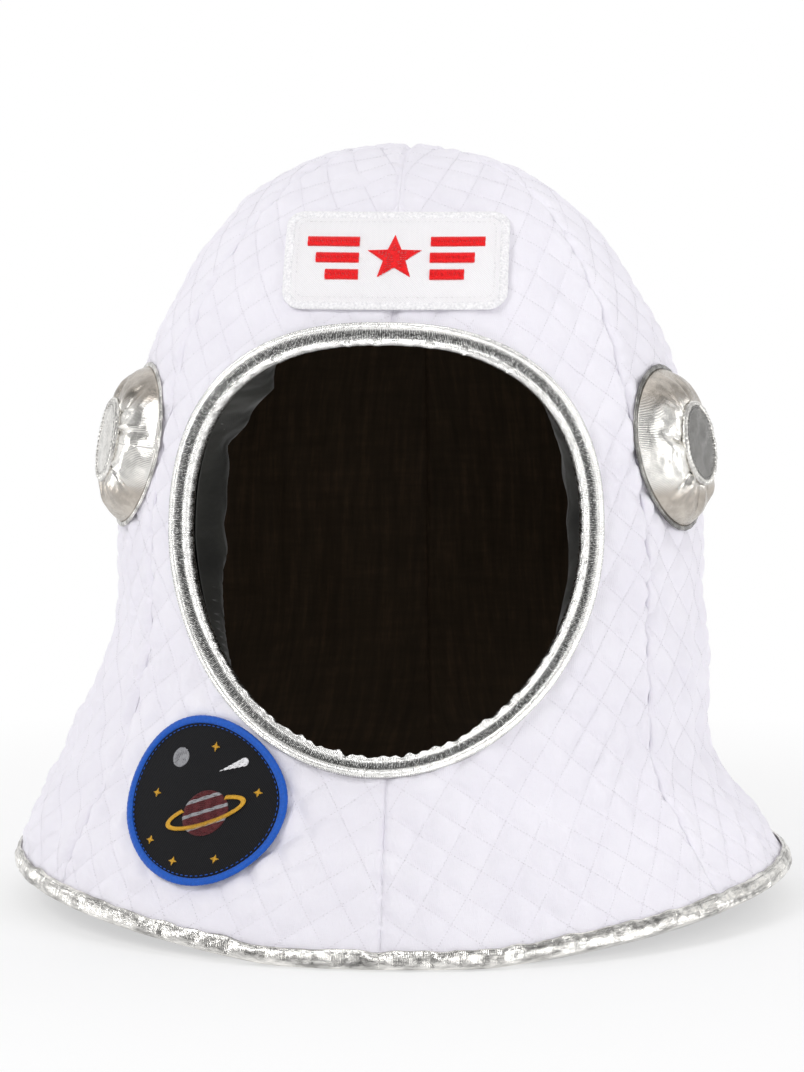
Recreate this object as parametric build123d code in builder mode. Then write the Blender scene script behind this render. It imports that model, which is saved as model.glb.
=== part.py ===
"""A soft costume astronaut helmet of quilted cloth, sewn from gores over a foam layer and a lining.

Millimetres. +Z is up, the face looks along -Y, and left and right are those of someone facing it.
The origin is on the floor, under the crown. Angles round the helmet are measured from the front
centre seam, positive towards the right.
"""

import os
from math import atan2, cos, pi, radians, sin, sqrt

from build123d import *

os.makedirs("parts", exist_ok=True)

# Whole helmet
helmet_height = 365.5
dome_half_width = 145.5
neck_height = 130.0
skirt_flare = 47.0
crown_roundness = 2.3
side_roundness = 2.35

# Seams between the six gores, besides those at the front and back centre
front_seam_angle = 55.0
back_seam_angle = 118.0

# Layers, from the outside in
quilt_thickness = 3.0
foam_thickness = 5.0
lining_thickness = 1.0
layer_gap = 0.2

# Hem, which rests on the floor at the front and the back and lifts over the shoulders
hem_flat_half_width = 50.0
hem_side_rise = 17.0
hem_corner_radius = 160.0
binding_thickness = 1.2
binding_height = 9.0

# Face opening, along the middle of its piping
opening_half_width = 95.2
opening_widest_height = 188.0
opening_above = 92.0
opening_below = 103.5
opening_top_squareness = 2.4
opening_bottom_squareness = 2.0
piping_radius = 5.5
piping_sink = 2.0
piping_clearance = 0.6

# Ear pods
pod_angle = 72.5
pod_height = 218.0
pod_flange_radius = 37.5
pod_flange_width = 3.3
pod_flange_thickness = 1.2
pod_rise = 11.0
pod_seat_depth = 8.0
pod_bulge = 1.8
pod_wall_thickness = 1.2
pod_cap_radius = 17.5
pod_cap_crown = 0.8
pod_welt_radius = 1.4

# Forehead patch
forehead_patch_width = 103.0
forehead_patch_height = 54.0
forehead_patch_corner = 9.0
forehead_patch_clearance = 4.5
forehead_border_width = 4.0
forehead_star_radius = 11.5
forehead_bar_length = 22.0
forehead_bar_height = 3.6
forehead_bar_pitch = 7.4
forehead_bar_step = 4.5
forehead_bar_start = 15.0

# Round patch
round_patch_angle = -30.5
round_patch_centre_height = 66.0
round_patch_radius = 38.0
round_border_width = 3.6
planet_radius = 11.5
planet_ring_reach = 20.0
planet_ring_width = 2.4
planet_ring_tilt = 24.0
planet_ring_flatness_share = 0.34
moon_radius = 4.6
star_radius = 2.3
comet_length = 13.0
comet_head_radius = 2.0

# Patch cloth and thread
patch_thickness = 1.0
patch_border_thickness = 2.2
thread_thickness = 0.6

# Working values
overrun = 20.0
meridian_steps = 26
sample_count = 240
path_steps = 28
piping_start_share = 0.25
piping_trim_share = 0.15

# The gores, as a name and the angles of the two seams
gores = [
    ("front_right", 0.0, front_seam_angle),
    ("side_right", front_seam_angle, back_seam_angle),
    ("back_right", back_seam_angle, 180.0),
    ("back_left", 180.0, 360.0 - back_seam_angle),
    ("side_left", 360.0 - back_seam_angle, 360.0 - front_seam_angle),
    ("front_left", 360.0 - front_seam_angle, 360.0),
]

# The skirt below the neck, as shares of the neck's height and of the flare
skirt_shares = [
    (0.88, 0.045),
    (0.72, 0.13),
    (0.57, 0.25),
    (0.42, 0.49),
    (0.27, 0.77),
    (0.13, 0.95),
    (0.0, 1.06),
    (-0.12, 1.12),
]

# Places on the round patch, as shares of its radius
planet_place_share = (0.1, -0.12)
moon_place_share = (-0.42, 0.5)
comet_place_share = (0.42, 0.52)
star_place_shares = [(-0.62, 0.06), (-0.5, -0.52), (0.02, 0.66), (0.66, 0.18), (0.42, -0.66), (-0.1, -0.74)]
star_waist_share = 0.42

crown_tangent = (1.0, 0.0)
hem_tangent = (0.25, -1.0)
dome_angles = [8.0, 17.0, 27.0, 38.0, 50.0, 62.0, 75.0, 90.0]


def dome_point(angle):
    """A point of the dome's outline, at an angle from the crown."""
    reach = dome_half_width * sin(radians(angle)) ** (2 / crown_roundness)
    rise = (helmet_height - neck_height) * max(cos(radians(angle)), 0.0) ** (2 / side_roundness)
    return (reach, neck_height + rise)


def skirt_point(height_share, flare_share):
    """A point of the skirt's outline."""
    reach = dome_half_width + skirt_flare * flare_share
    return (reach, neck_height * height_share)


outline_points = [(0.0, helmet_height)]
outline_points += [dome_point(angle) for angle in dome_angles]
outline_points += [skirt_point(height_share, flare_share) for height_share, flare_share in skirt_shares]

with BuildLine() as outline:
    Spline(*outline_points, tangents=(crown_tangent, hem_tangent))
outline_edge = outline.edges()[0]
outline_samples = [outline_edge @ (step / sample_count) for step in range(sample_count + 1)]


def outline_at(height):
    """The shell's radius at a height, and how steeply it leans back there."""
    for upper, lower in zip(outline_samples, outline_samples[1:]):
        if lower.Y <= height <= upper.Y:
            share = (upper.Y - height) / (upper.Y - lower.Y)
            lean = atan2(lower.X - upper.X, upper.Y - lower.Y)
            return upper.X + share * (lower.X - upper.X), lean
    raise ValueError("no part of the helmet is at this height")


def inset_points(inset):
    """The outline moved inwards by an inset, from the crown down."""
    points = []
    for step in range(meridian_steps + 1):
        place = outline_edge @ (step / meridian_steps)
        along = outline_edge % (step / meridian_steps)
        points.append((max(place.X + along.Y * inset, 0.0), place.Y - along.X * inset))
    return points


def direction(angle):
    """The level direction at an angle round the helmet."""
    return Vector(sin(radians(angle)), -cos(radians(angle)), 0)


def turned_layer(outer_inset, inner_inset, first_seam=0.0, second_seam=360.0):
    """The layer between two insets, from one seam to another, with its hem not yet cut."""
    outer_points = inset_points(outer_inset)
    inner_points = inset_points(inner_inset)
    across = direction(first_seam)
    with BuildPart() as layer:
        with BuildSketch(Plane(origin=(0, 0, 0), x_dir=across, z_dir=across.cross(Vector(0, 0, 1)))):
            with BuildLine():
                Spline(*outer_points, tangents=(crown_tangent, hem_tangent))
                Line(outer_points[-1], inner_points[-1])
                Spline(*inner_points, tangents=(crown_tangent, hem_tangent))
                Line(outer_points[0], inner_points[0])
            make_face()
        revolve(axis=Axis.Z, revolution_arc=second_seam - first_seam)
    return layer.part


def below_hem(lift):
    """Everything below the hem line, lifted by an amount."""
    side = dome_half_width + skirt_flare + overrun
    slope = hem_side_rise / (dome_half_width + skirt_flare - hem_flat_half_width)
    side_height = lift + slope * (side - hem_flat_half_width)
    with BuildPart() as cutter:
        with BuildSketch(Plane.XZ):
            with BuildLine():
                Line((-side, -overrun * 2), (side, -overrun * 2))
                Line((side, -overrun * 2), (side, side_height))
                FilletPolyline(
                    (side, side_height),
                    (hem_flat_half_width, lift),
                    (-hem_flat_half_width, lift),
                    (-side, side_height),
                    radius=hem_corner_radius,
                )
                Line((-side, side_height), (-side, -overrun * 2))
            make_face()
        extrude(amount=side * 2, both=True)
    return cutter.part


def opening_point(angle, growth=0.0):
    """A place on the face opening, grown outwards, at an angle from its top, as seen from the front."""
    across = sin(angle)
    upwards = cos(angle)
    squareness = opening_top_squareness if upwards > 0 else opening_bottom_squareness
    half_height = (opening_above if upwards > 0 else opening_below) + growth
    x = (opening_half_width + growth) * abs(across) ** (2 / squareness)
    z = half_height * abs(upwards) ** (2 / squareness)
    return (x if across > 0 else -x, opening_widest_height + (z if upwards > 0 else -z))


def front_point(x, height, inset):
    """The place on the front of the helmet, inset from the shell's face, that is seen at x and a height."""
    radius, lean = outline_at(height)
    radius -= inset / cos(lean)
    return (x, -sqrt(radius * radius - x * x), height)


def shell_plane(angle, height):
    """The plane that touches the shell at an angle and a height: x is level, y runs up the shell."""
    radius, lean = outline_at(height)
    outwards = direction(angle)
    along = Vector(cos(radians(angle)), sin(radians(angle)), 0)
    normal = outwards * cos(lean) + Vector(0, 0, 1) * sin(lean)
    return Plane(origin=outwards * radius + Vector(0, 0, height), x_dir=along, z_dir=normal)


def keep(name, part):
    """Labels a finished piece and writes it."""
    part.label = name
    export_step(part, f"parts/{name}.step")


# Cutters that several pieces share
foam_inset = quilt_thickness + layer_gap
lining_inset = foam_inset + foam_thickness + layer_gap
inner_inset = lining_inset + lining_thickness
hem_cut = below_hem(binding_thickness + layer_gap)

turns = [2 * pi * step / path_steps for step in range(path_steps)]
opening_growth = piping_radius + piping_clearance

with BuildPart() as face_cut:
    with BuildSketch(Plane.XZ):
        with BuildLine():
            Spline(*[opening_point(turn, opening_growth) for turn in turns], periodic=True)
        make_face()
    extrude(amount=dome_half_width * 2)

# Quilted shell, foam and lining, each in six gores
layers = [
    ("shell", 0.0, quilt_thickness),
    ("foam", foam_inset, foam_inset + foam_thickness),
    ("lining", lining_inset, inner_inset),
]
for gore_name, first_seam, second_seam in gores:
    for layer_name, outer_inset, inner_limit in layers:
        with BuildPart() as gore:
            add(turned_layer(outer_inset, inner_limit, first_seam, second_seam))
            add(hem_cut, mode=Mode.SUBTRACT)
            if gore_name.startswith("front"):
                add(face_cut.part, mode=Mode.SUBTRACT)
        keep(f"{layer_name}_{gore_name}", gore.part)

# Piping round the face opening: cloth rolled round a soft cord and sewn to itself. The right half is
# swept along a path that starts and ends past the centre plane, and is mirrored there.
piping_turns = [2 * pi * (step / path_steps - piping_start_share) for step in range(path_steps)]
with BuildLine() as piping_loop:
    Spline(*[front_point(*opening_point(turn), piping_sink) for turn in piping_turns], periodic=True)
piping_path = piping_loop.edges()[0].trim(piping_trim_share, 1 - piping_trim_share)

with BuildPart() as face_piping:
    with BuildSketch(Plane(origin=piping_path @ 0, z_dir=piping_path % 0)):
        Circle(piping_radius)
    sweep(path=piping_path)
    split(bisect_by=Plane.YZ)
    mirror(about=Plane.YZ)
keep("face_piping", face_piping.part)

# Binding folded round the hem of all three layers
with BuildPart() as bound_edge:
    add(turned_layer(-layer_gap, inner_inset + layer_gap))
    add(below_hem(binding_thickness), mode=Mode.SUBTRACT)

with BuildPart() as hem_binding:
    add(turned_layer(-binding_thickness - layer_gap, inner_inset + layer_gap + binding_thickness))
    add(below_hem(binding_height), mode=Mode.INTERSECT)
    add(below_hem(0.0), mode=Mode.SUBTRACT)
    add(bound_edge.part, mode=Mode.SUBTRACT)
keep("hem_binding", hem_binding.part)


def pod_profile_plane(seat):
    """The plane through a pod's axis: x runs out from the axis and y away from the helmet."""
    return Plane(origin=seat.origin, x_dir=seat.x_dir, z_dir=-seat.y_dir)


def pod_side(inset):
    """A pod's side from its foot to its rim, drawn in by an inset: its corners and the top of its bulge."""
    foot_radius = pod_flange_radius - pod_flange_width - inset
    rim_radius = pod_cap_radius + pod_welt_radius * 2 - inset
    rise = pod_rise - inset
    bulge_point = ((foot_radius + rim_radius) / 2 + pod_bulge, rise / 2 + pod_bulge)
    return (foot_radius, -pod_seat_depth), (foot_radius, 0), bulge_point, (rim_radius, rise)


def ring_about(seat, outer_radius, inner_radius, reach):
    """A plain tube about a seat's axis, reaching both ways."""
    with BuildPart() as ring:
        with BuildSketch(seat):
            Circle(outer_radius)
            Circle(inner_radius, mode=Mode.SUBTRACT)
        extrude(amount=reach, both=True)
    return ring.part


# Ear pods: a flange sewn to the shell, a puffed wall, a welted round cap and a loose filling
pod_sides = [
    ("right", pod_angle, front_seam_angle, back_seam_angle),
    ("left", -pod_angle, -back_seam_angle, -front_seam_angle),
]
flange_reach = pod_flange_thickness + layer_gap

for side_name, angle, first_seam, second_seam in pod_sides:
    seat = shell_plane(angle, pod_height)
    cloth_below = turned_layer(-layer_gap, inner_inset, first_seam, second_seam)

    with BuildPart() as pod_flange:
        add(turned_layer(-flange_reach, -layer_gap, first_seam, second_seam))
        flange_inner_radius = pod_flange_radius - pod_flange_width + layer_gap
        add(ring_about(seat, pod_flange_radius, flange_inner_radius, overrun), mode=Mode.INTERSECT)
    keep(f"ear_pod_flange_{side_name}", pod_flange.part)

    with BuildPart() as pod_wall:
        foot, shoulder, bulge_point, rim = pod_side(0.0)
        inner_foot, inner_shoulder, inner_bulge_point, inner_rim = pod_side(pod_wall_thickness)
        with BuildSketch(pod_profile_plane(seat)):
            with BuildLine():
                Line(foot, shoulder)
                ThreePointArc(shoulder, bulge_point, rim)
                Polyline(rim, (pod_cap_radius, pod_rise), (pod_cap_radius, inner_rim[1]), inner_rim)
                ThreePointArc(inner_rim, inner_bulge_point, inner_shoulder)
                Polyline(inner_shoulder, inner_foot, foot)
            make_face()
        revolve(axis=Axis(seat.origin, seat.z_dir))
        add(cloth_below, mode=Mode.SUBTRACT)
    keep(f"ear_pod_wall_{side_name}", pod_wall.part)

    with BuildPart() as pod_fill:
        foot, shoulder, bulge_point, rim = pod_side(pod_wall_thickness + layer_gap)
        with BuildSketch(pod_profile_plane(seat)):
            with BuildLine():
                Line(foot, shoulder)
                ThreePointArc(shoulder, bulge_point, rim)
                Polyline(rim, (0, rim[1]), (0, foot[1]), foot)
            make_face()
        revolve(axis=Axis(seat.origin, seat.z_dir))
        add(cloth_below, mode=Mode.SUBTRACT)
    keep(f"ear_pod_fill_{side_name}", pod_fill.part)

    with BuildPart() as pod_cap:
        with BuildSketch(pod_profile_plane(seat)):
            with BuildLine():
                cap_edge = pod_cap_radius - layer_gap
                cap_foot = pod_rise - pod_wall_thickness
                Polyline((0, pod_rise + pod_cap_crown), (0, cap_foot), (cap_edge, cap_foot), (cap_edge, pod_rise))
                RadiusArc(
                    (cap_edge, pod_rise),
                    (0, pod_rise + pod_cap_crown),
                    -(cap_edge**2 + pod_cap_crown**2) / (2 * pod_cap_crown),
                )
            make_face()
        revolve(axis=Axis(seat.origin, seat.z_dir))
    keep(f"ear_pod_cap_{side_name}", pod_cap.part)

    with BuildPart() as pod_welt:
        with BuildSketch(pod_profile_plane(seat)):
            with Locations((pod_cap_radius + pod_welt_radius, pod_rise + pod_welt_radius + layer_gap)):
                Circle(pod_welt_radius)
        revolve(axis=Axis(seat.origin, seat.z_dir))
    keep(f"ear_pod_welt_{side_name}", pod_welt.part)


def sewn_on(outline_sketch, inner_outset, outer_outset, first_seam, second_seam):
    """A flat outline laid on the shell between two outsets."""
    with BuildPart() as piece:
        extrude(outline_sketch, amount=overrun, both=True)
        add(turned_layer(-outer_outset, -inner_outset, first_seam, second_seam), mode=Mode.INTERSECT)
    return piece.part


ground_outset = layer_gap + patch_thickness
border_outset = layer_gap + patch_border_thickness
thread_inset = ground_outset + layer_gap
thread_outset = thread_inset + thread_thickness

# Forehead patch: a twill ground, an overlocked border and a plain star between bars
forehead_bottom = opening_widest_height + opening_above + piping_radius + forehead_patch_clearance
forehead_lean = outline_at(forehead_bottom + forehead_patch_height / 2)[1]
forehead_seat = shell_plane(0.0, forehead_bottom + forehead_patch_height / 2 * cos(forehead_lean))
forehead_ground_size = (
    forehead_patch_width - forehead_border_width * 2,
    forehead_patch_height - forehead_border_width * 2,
)

with BuildSketch(forehead_seat) as forehead_ground_outline:
    RectangleRounded(*forehead_ground_size, forehead_patch_corner - forehead_border_width)
forehead_ground = sewn_on(
    forehead_ground_outline.sketch, layer_gap, ground_outset, -front_seam_angle, front_seam_angle
)
keep("forehead_patch_ground", forehead_ground)

with BuildSketch(forehead_seat) as forehead_border_outline:
    RectangleRounded(forehead_patch_width, forehead_patch_height, forehead_patch_corner)
    RectangleRounded(
        forehead_ground_size[0] + layer_gap * 2,
        forehead_ground_size[1] + layer_gap * 2,
        forehead_patch_corner - forehead_border_width + layer_gap,
        mode=Mode.SUBTRACT,
    )
forehead_border = sewn_on(
    forehead_border_outline.sketch, layer_gap, border_outset, -front_seam_angle, front_seam_angle
)
keep("forehead_patch_border", forehead_border)


def star_points(radius, waist_radius, count):
    """The corners of a star that stands on two of its points."""
    points = []
    for corner in range(count * 2):
        reach = waist_radius if corner % 2 else radius
        points.append((reach * sin(pi * corner / count), reach * cos(pi * corner / count)))
    return points


with BuildSketch(forehead_seat) as forehead_motif_outline:
    Polygon(*star_points(forehead_star_radius, forehead_star_radius * star_waist_share, 5), align=None)
    for side in (1, -1):
        for row in range(3):
            length = forehead_bar_length - row * forehead_bar_step
            centre = (side * (forehead_bar_start + length / 2), (1 - row) * forehead_bar_pitch)
            with Locations(centre):
                Rectangle(length, forehead_bar_height)
forehead_motif = sewn_on(
    forehead_motif_outline.sketch, thread_inset, thread_outset, -front_seam_angle, front_seam_angle
)
keep("forehead_patch_motif", forehead_motif)

# Round patch: a woven ground, an overlocked border and a ringed planet among stars
round_seat = shell_plane(round_patch_angle, round_patch_centre_height)
ground_radius = round_patch_radius - round_border_width


def round_place(place_share):
    """A place on the round patch."""
    return (place_share[0] * round_patch_radius, place_share[1] * round_patch_radius)


with BuildSketch(round_seat) as round_ground_outline:
    Circle(ground_radius)
keep(
    "round_patch_ground",
    sewn_on(round_ground_outline.sketch, layer_gap, ground_outset, -front_seam_angle, 0.0),
)

with BuildSketch(round_seat) as round_border_outline:
    Circle(round_patch_radius)
    Circle(ground_radius + layer_gap, mode=Mode.SUBTRACT)
keep(
    "round_patch_border",
    sewn_on(round_border_outline.sketch, layer_gap, border_outset, -front_seam_angle, 0.0),
)

with BuildSketch(round_seat) as ring_outline:
    with Locations(Location((*round_place(planet_place_share), 0), (0, 0, planet_ring_tilt))):
        Ellipse(planet_ring_reach, planet_ring_reach * planet_ring_flatness_share)
        Ellipse(
            planet_ring_reach - planet_ring_width,
            planet_ring_reach * planet_ring_flatness_share - planet_ring_width,
            mode=Mode.SUBTRACT,
        )
        with Locations((0, planet_ring_reach / 2)):
            Rectangle(planet_radius * 2, planet_ring_reach, mode=Mode.SUBTRACT)

with BuildSketch(round_seat) as planet_outline:
    with Locations(round_place(planet_place_share)):
        Circle(planet_radius)
    add(ring_outline.sketch_local, mode=Mode.SUBTRACT)

with BuildSketch(round_seat) as moon_outline:
    with Locations(round_place(moon_place_share)):
        Circle(moon_radius)

with BuildSketch(round_seat) as stars_outline:
    for star_place_share in star_place_shares:
        with Locations(round_place(star_place_share)):
            Polygon(*star_points(star_radius, star_radius * star_waist_share, 4), align=None)

with BuildSketch(round_seat) as comet_outline:
    with Locations(Location((*round_place(comet_place_share), 0), (0, 0, planet_ring_tilt))):
        Circle(comet_head_radius)
        Polygon(
            (0, comet_head_radius), (0, -comet_head_radius), (-comet_length, 0), align=None
        )

motifs = [
    ("planet", planet_outline),
    ("planet_ring", ring_outline),
    ("moon", moon_outline),
    ("stars", stars_outline),
    ("comet", comet_outline),
]
for motif_name, motif_outline in motifs:
    motif = sewn_on(motif_outline.sketch, thread_inset, thread_outset, -front_seam_angle, 0.0)
    keep(f"round_patch_{motif_name}", motif)
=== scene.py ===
"""The looks of a soft costume astronaut helmet: quilted gores over foam and a lining, silver piping,
binding and ear pods, and two sewn-on patches. Metres, with the face along -Y and +Z up."""

from math import cos, pi, radians, sin, sqrt

import bpy
import bmesh
import numpy as np
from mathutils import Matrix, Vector


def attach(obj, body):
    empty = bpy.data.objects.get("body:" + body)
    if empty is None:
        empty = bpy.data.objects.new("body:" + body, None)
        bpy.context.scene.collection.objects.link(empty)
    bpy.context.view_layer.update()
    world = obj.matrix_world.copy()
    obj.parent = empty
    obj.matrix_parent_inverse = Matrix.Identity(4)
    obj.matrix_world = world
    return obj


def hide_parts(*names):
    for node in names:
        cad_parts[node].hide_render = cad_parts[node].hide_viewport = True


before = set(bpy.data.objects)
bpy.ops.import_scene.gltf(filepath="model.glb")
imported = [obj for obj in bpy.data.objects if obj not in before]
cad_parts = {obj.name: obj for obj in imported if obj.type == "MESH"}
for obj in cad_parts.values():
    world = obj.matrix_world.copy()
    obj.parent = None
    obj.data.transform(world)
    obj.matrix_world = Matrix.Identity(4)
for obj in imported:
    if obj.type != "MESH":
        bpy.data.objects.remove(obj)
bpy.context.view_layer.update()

# Whole helmet
helmet_height = 0.3655
dome_half_width = 0.1455
neck_height = 0.130
skirt_flare = 0.047
crown_roundness = 2.3
side_roundness = 2.35
dome_angles = [8.0, 17.0, 27.0, 38.0, 50.0, 62.0, 75.0, 90.0]
skirt_shares = [(0.88, 0.045), (0.72, 0.13), (0.57, 0.25), (0.42, 0.49), (0.27, 0.77), (0.13, 0.95),
                (0.0, 1.06), (-0.12, 1.12)]
hem_slope = (0.25, -1.0)

# How wide the skirt stands on each side, as a height and the half width there
right_skirt = [(0.130, 0.1460), (0.086, 0.1456), (0.074, 0.1468), (0.064, 0.1514), (0.054, 0.1588),
               (0.035, 0.1747), (0.017, 0.1872), (0.0, 0.197)]
left_skirt = [(0.130, 0.1460), (0.114, 0.1505), (0.094, 0.1575), (0.074, 0.1680), (0.054, 0.1790),
              (0.035, 0.1880), (0.017, 0.1932), (0.0, 0.197)]
skirt_samples = 160

# Layers, from the outside in
cover_thickness = 0.003
foam_outset = -0.0034
foam_thickness = 0.0044
lining_outset = -0.0086
lining_thickness = 0.0008
lining_pouch = 0.026

# Spacing of each layer's points, and how high its hem is held
cover_spacing = 0.0017
foam_spacing = 0.006
lining_spacing = 0.0032
cover_lift = 0.0016
lining_lift = 0.0020

# Hem and binding
hem_flat_half_width = 0.050
hem_side_rise = 0.017
hem_corner_reach = 0.0095
binding_height = 0.009

# Quilting
quilt_square = 0.0152
quilt_valley_width = 0.0024
quilt_valley = 0.0017
quilt_crown = 0.0007
seam_valley = 0.0014
seam_valley_width = 0.0019
seam_pucker_pitch = 0.0078
seam_pucker = 0.00035
seam_bulge = 0.0007
dome_calm = 0.35
stitch_pitch = 0.0016
stitch_lift = 0.00022

# Stitches, as a length, a width and a height, and how far apart they are in their row
quilting_stitch = (0.00095, 0.00044, 0.00034)
binding_stitch, binding_stitch_pitch = (0.0021, 0.0005, 0.0004), 0.0030
cap_stitch, cap_stitch_pitch = (0.0017, 0.0005, 0.0004), 0.0024
patch_stitch, patch_stitch_pitch = (0.0019, 0.00055, 0.0004), 0.0026

# Folds: the skirt's upright ones, the lining's, and others as a height, a wavelength and a seed
skirt_fold_count = 23
skirt_fold_height = 0.0013
lining_fold_depth = 0.0032
lining_crease_depth = 0.0010
cover_folds = [(0.0011, 0.110, 5), (0.0006, 0.045, 8), (0.00016, 0.013, 13)]
pleat_folds = [(0.06, 0.040, 59), (0.03, 0.020, 60)]

# Face opening
opening_half_width = 0.0962
opening_aside = -0.0042
opening_widest_height = 0.188
opening_above = 0.092
opening_below = 0.1035
opening_top_squareness = 2.4
opening_bottom_squareness = 2.0
cover_cut_growth = 0.0025
lining_cut_growth = 0.0015

# Ear pods
right_pod_angle = 70.5
left_pod_angle = -71.5
pod_height = 0.2232
pod_flange_radius = 0.0402
pod_foot_radius = 0.0379
pod_rise = 0.011
pod_bulge = 0.0034
pod_cap_radius = 0.0175
pod_welt_radius = 0.0015
pod_wall_thickness = 0.0009
pod_points_around = 300
pinch_angles = [12.0, 48.0, 97.0, 131.0, 168.0, 215.0, 252.0, 289.0, 331.0]
pinch_depth = 0.0021
pinch_width = 5.0
pinch_ridge = 0.0010

# Patches
forehead_patch_width = 0.103
forehead_patch_height = 0.054
forehead_patch_corner = 0.009
forehead_patch_foot = 0.290
forehead_border_width = 0.004
round_patch_angle = -31.0
round_patch_centre_height = 0.065
round_patch_radius = 0.0408
round_patch_stretch = 1.04
round_patch_lean = 0.15
round_border_width = 0.0036
patch_outset = 0.0009
patch_thickness = 0.0008
thread_width = 0.00046
thread_pitch = 0.00036

# The gores: name, seam angles from the front, and how the quilting is turned
gores = [
    ("front_right", 0.0, 55.0, 53.0),
    ("side_right", 55.0, 118.0, 42.0),
    ("back_right", 118.0, 180.0, 47.0),
    ("back_left", 180.0, 242.0, 43.0),
    ("side_left", 242.0, 305.0, 49.0),
    ("front_left", 305.0, 360.0, 37.0),
]


# Small sums that come up again and again

def share(values):
    """Values held between 0 and 1."""
    return np.clip(values, 0.0, 1.0)


def bell(distance, width):
    """1 at no distance, and next to nothing at twice the width."""
    return np.exp(-((distance / width) ** 2))


def unit(vectors):
    return vectors / np.maximum(np.linalg.norm(vectors, axis=-1, keepdims=True), 1e-12)


def lengths_along(points):
    """How far each point of a line is from its first."""
    return np.concatenate([[0.0], np.cumsum(np.linalg.norm(np.diff(points, axis=0), axis=1))])


def even_turns(count):
    return np.linspace(0.0, 2 * pi, count, endpoint=False)


def soft_waves(points, wavelength, seed, count=14):
    """Smooth random swells over points, about 1 high."""
    draw = np.random.default_rng(seed)
    directions = unit(draw.normal(size=(count, 3)))
    directions = directions * draw.uniform(0.7, 1.4, (count, 1)) * 2 * pi / wavelength
    phases = draw.uniform(0.0, 2 * pi, count)
    return np.sin(points @ directions.T + phases).sum(axis=-1) / sqrt(count)


# The helmet's outline

def smooth_through(points, samples):
    """A smooth line through points, as many samples from each to the next."""
    points = np.array(points)
    times = lengths_along(points)
    slopes = np.gradient(points, times, axis=0)
    slopes[0] = (1.0, 0.0)
    slopes[-1] = unit(np.array(hem_slope))
    t = np.linspace(0.0, 1.0, samples, endpoint=False)[:, None]
    line = []
    for start, end, leave, arrive, span in zip(points, points[1:], slopes, slopes[1:], np.diff(times)):
        line.append((2 * t**3 - 3 * t**2 + 1) * start + (t**3 - 2 * t**2 + t) * span * leave
                    + (3 * t**2 - 2 * t**3) * end + (t**3 - t**2) * span * arrive)
    return np.concatenate(line + [points[-1:]])


outline_points = [(0.0, helmet_height)]
for dome_angle in dome_angles:
    rise = max(cos(radians(dome_angle)), 0.0) ** (2 / side_roundness)
    reach = sin(radians(dome_angle)) ** (2 / crown_roundness)
    outline_points.append((dome_half_width * reach, neck_height + (helmet_height - neck_height) * rise))
for height_share, flare_share in skirt_shares:
    outline_points.append((dome_half_width + skirt_flare * flare_share, neck_height * height_share))

outline = smooth_through(outline_points, 40)
outline_lengths = lengths_along(outline)
crown_to_hem = float(outline_lengths[-1])


def reach_at(length):
    """The outline's distance from the axis, at a length down from the crown."""
    return np.interp(length, outline_lengths, outline[:, 0])


def height_at(length):
    return np.interp(length, outline_lengths, outline[:, 1])


def length_at(height):
    return np.interp(-np.asarray(height), -outline[:, 1], outline_lengths)


skirt_heights = np.linspace(-0.02, neck_height, skirt_samples)


def side_extra(side_points):
    """How much further out one side of the skirt stands than the outline, at each skirt height."""
    heights, widths = np.array(side_points)[::-1].T
    extra = np.interp(skirt_heights, heights, widths) - reach_at(length_at(skirt_heights))
    smooth = np.convolve(np.pad(extra, 6, mode="edge"), np.hanning(13) / np.hanning(13).sum(), mode="valid")
    return smooth * share((neck_height - skirt_heights) / 0.006)


side_extras = [(1, side_extra(right_skirt)), (-1, side_extra(left_skirt))]


def bare_point(angle, length):
    """The helmet's smooth outer face, at an angle from the front and a length down from the crown."""
    height, across, radius = height_at(length), np.sin(angle), reach_at(length)
    for side, extra in side_extras:
        radius = radius + np.interp(height, skirt_heights, extra, right=0.0) * share(side * across) ** 1.5
    return np.stack([radius * across, -radius * np.cos(angle), height * np.ones_like(radius)], axis=-1)


def bare_frame(angle, length):
    """The outer face's point, outward normal and downward direction."""
    step = 0.0006
    length = np.maximum(length, step * 2)
    down = bare_point(angle, length + step) - bare_point(angle, length - step)
    turn = step / np.maximum(reach_at(length), step)
    along = bare_point(angle + turn, length) - bare_point(angle - turn, length)
    return bare_point(angle, length), unit(np.cross(down, along)), unit(down)


def hem_rise(across):
    """How high the hem is lifted, at a distance from the middle of the helmet."""
    beyond = np.abs(across) - hem_flat_half_width
    corner = (beyond + hem_corner_reach) ** 2 / (4 * hem_corner_reach)
    ramp = np.where(beyond > hem_corner_reach, beyond, np.where(beyond < -hem_corner_reach, 0.0, corner))
    return ramp * hem_side_rise / (dome_half_width + skirt_flare - hem_flat_half_width)


def hem_length(angle, lift):
    """The length down from the crown at which the hem lies, lifted by an amount."""
    length = np.full_like(np.asarray(angle, dtype=float), length_at(lift))
    for _ in range(4):
        length = length_at(lift + hem_rise(bare_point(angle, length)[..., 0]))
    return length


def opening_level(points, growth):
    """Below 1 inside the face opening, grown by an amount, and above 1 outside it."""
    above = points[..., 2] > opening_widest_height
    squareness = np.where(above, opening_top_squareness, opening_bottom_squareness)
    half_height = np.where(above, opening_above, opening_below) + growth
    across = np.abs(points[..., 0] - opening_aside) / (opening_half_width + growth)
    upwards = np.abs(points[..., 2] - opening_widest_height) / half_height
    level = (across**squareness + upwards**squareness) ** (1 / squareness)
    return np.where(points[..., 1] < 0, level, 9.0)


def on_front(across, height):
    """The angle and length of the place on the front that is seen at a place across and a height."""
    length = length_at(height)
    angle = np.arcsin(np.clip(across / reach_at(length), -1, 1))
    for _ in range(4):
        radius = np.linalg.norm(bare_point(angle, length)[..., :2], axis=-1)
        angle = np.arcsin(np.clip(across / radius, -1, 1))
    return angle, length


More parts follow.
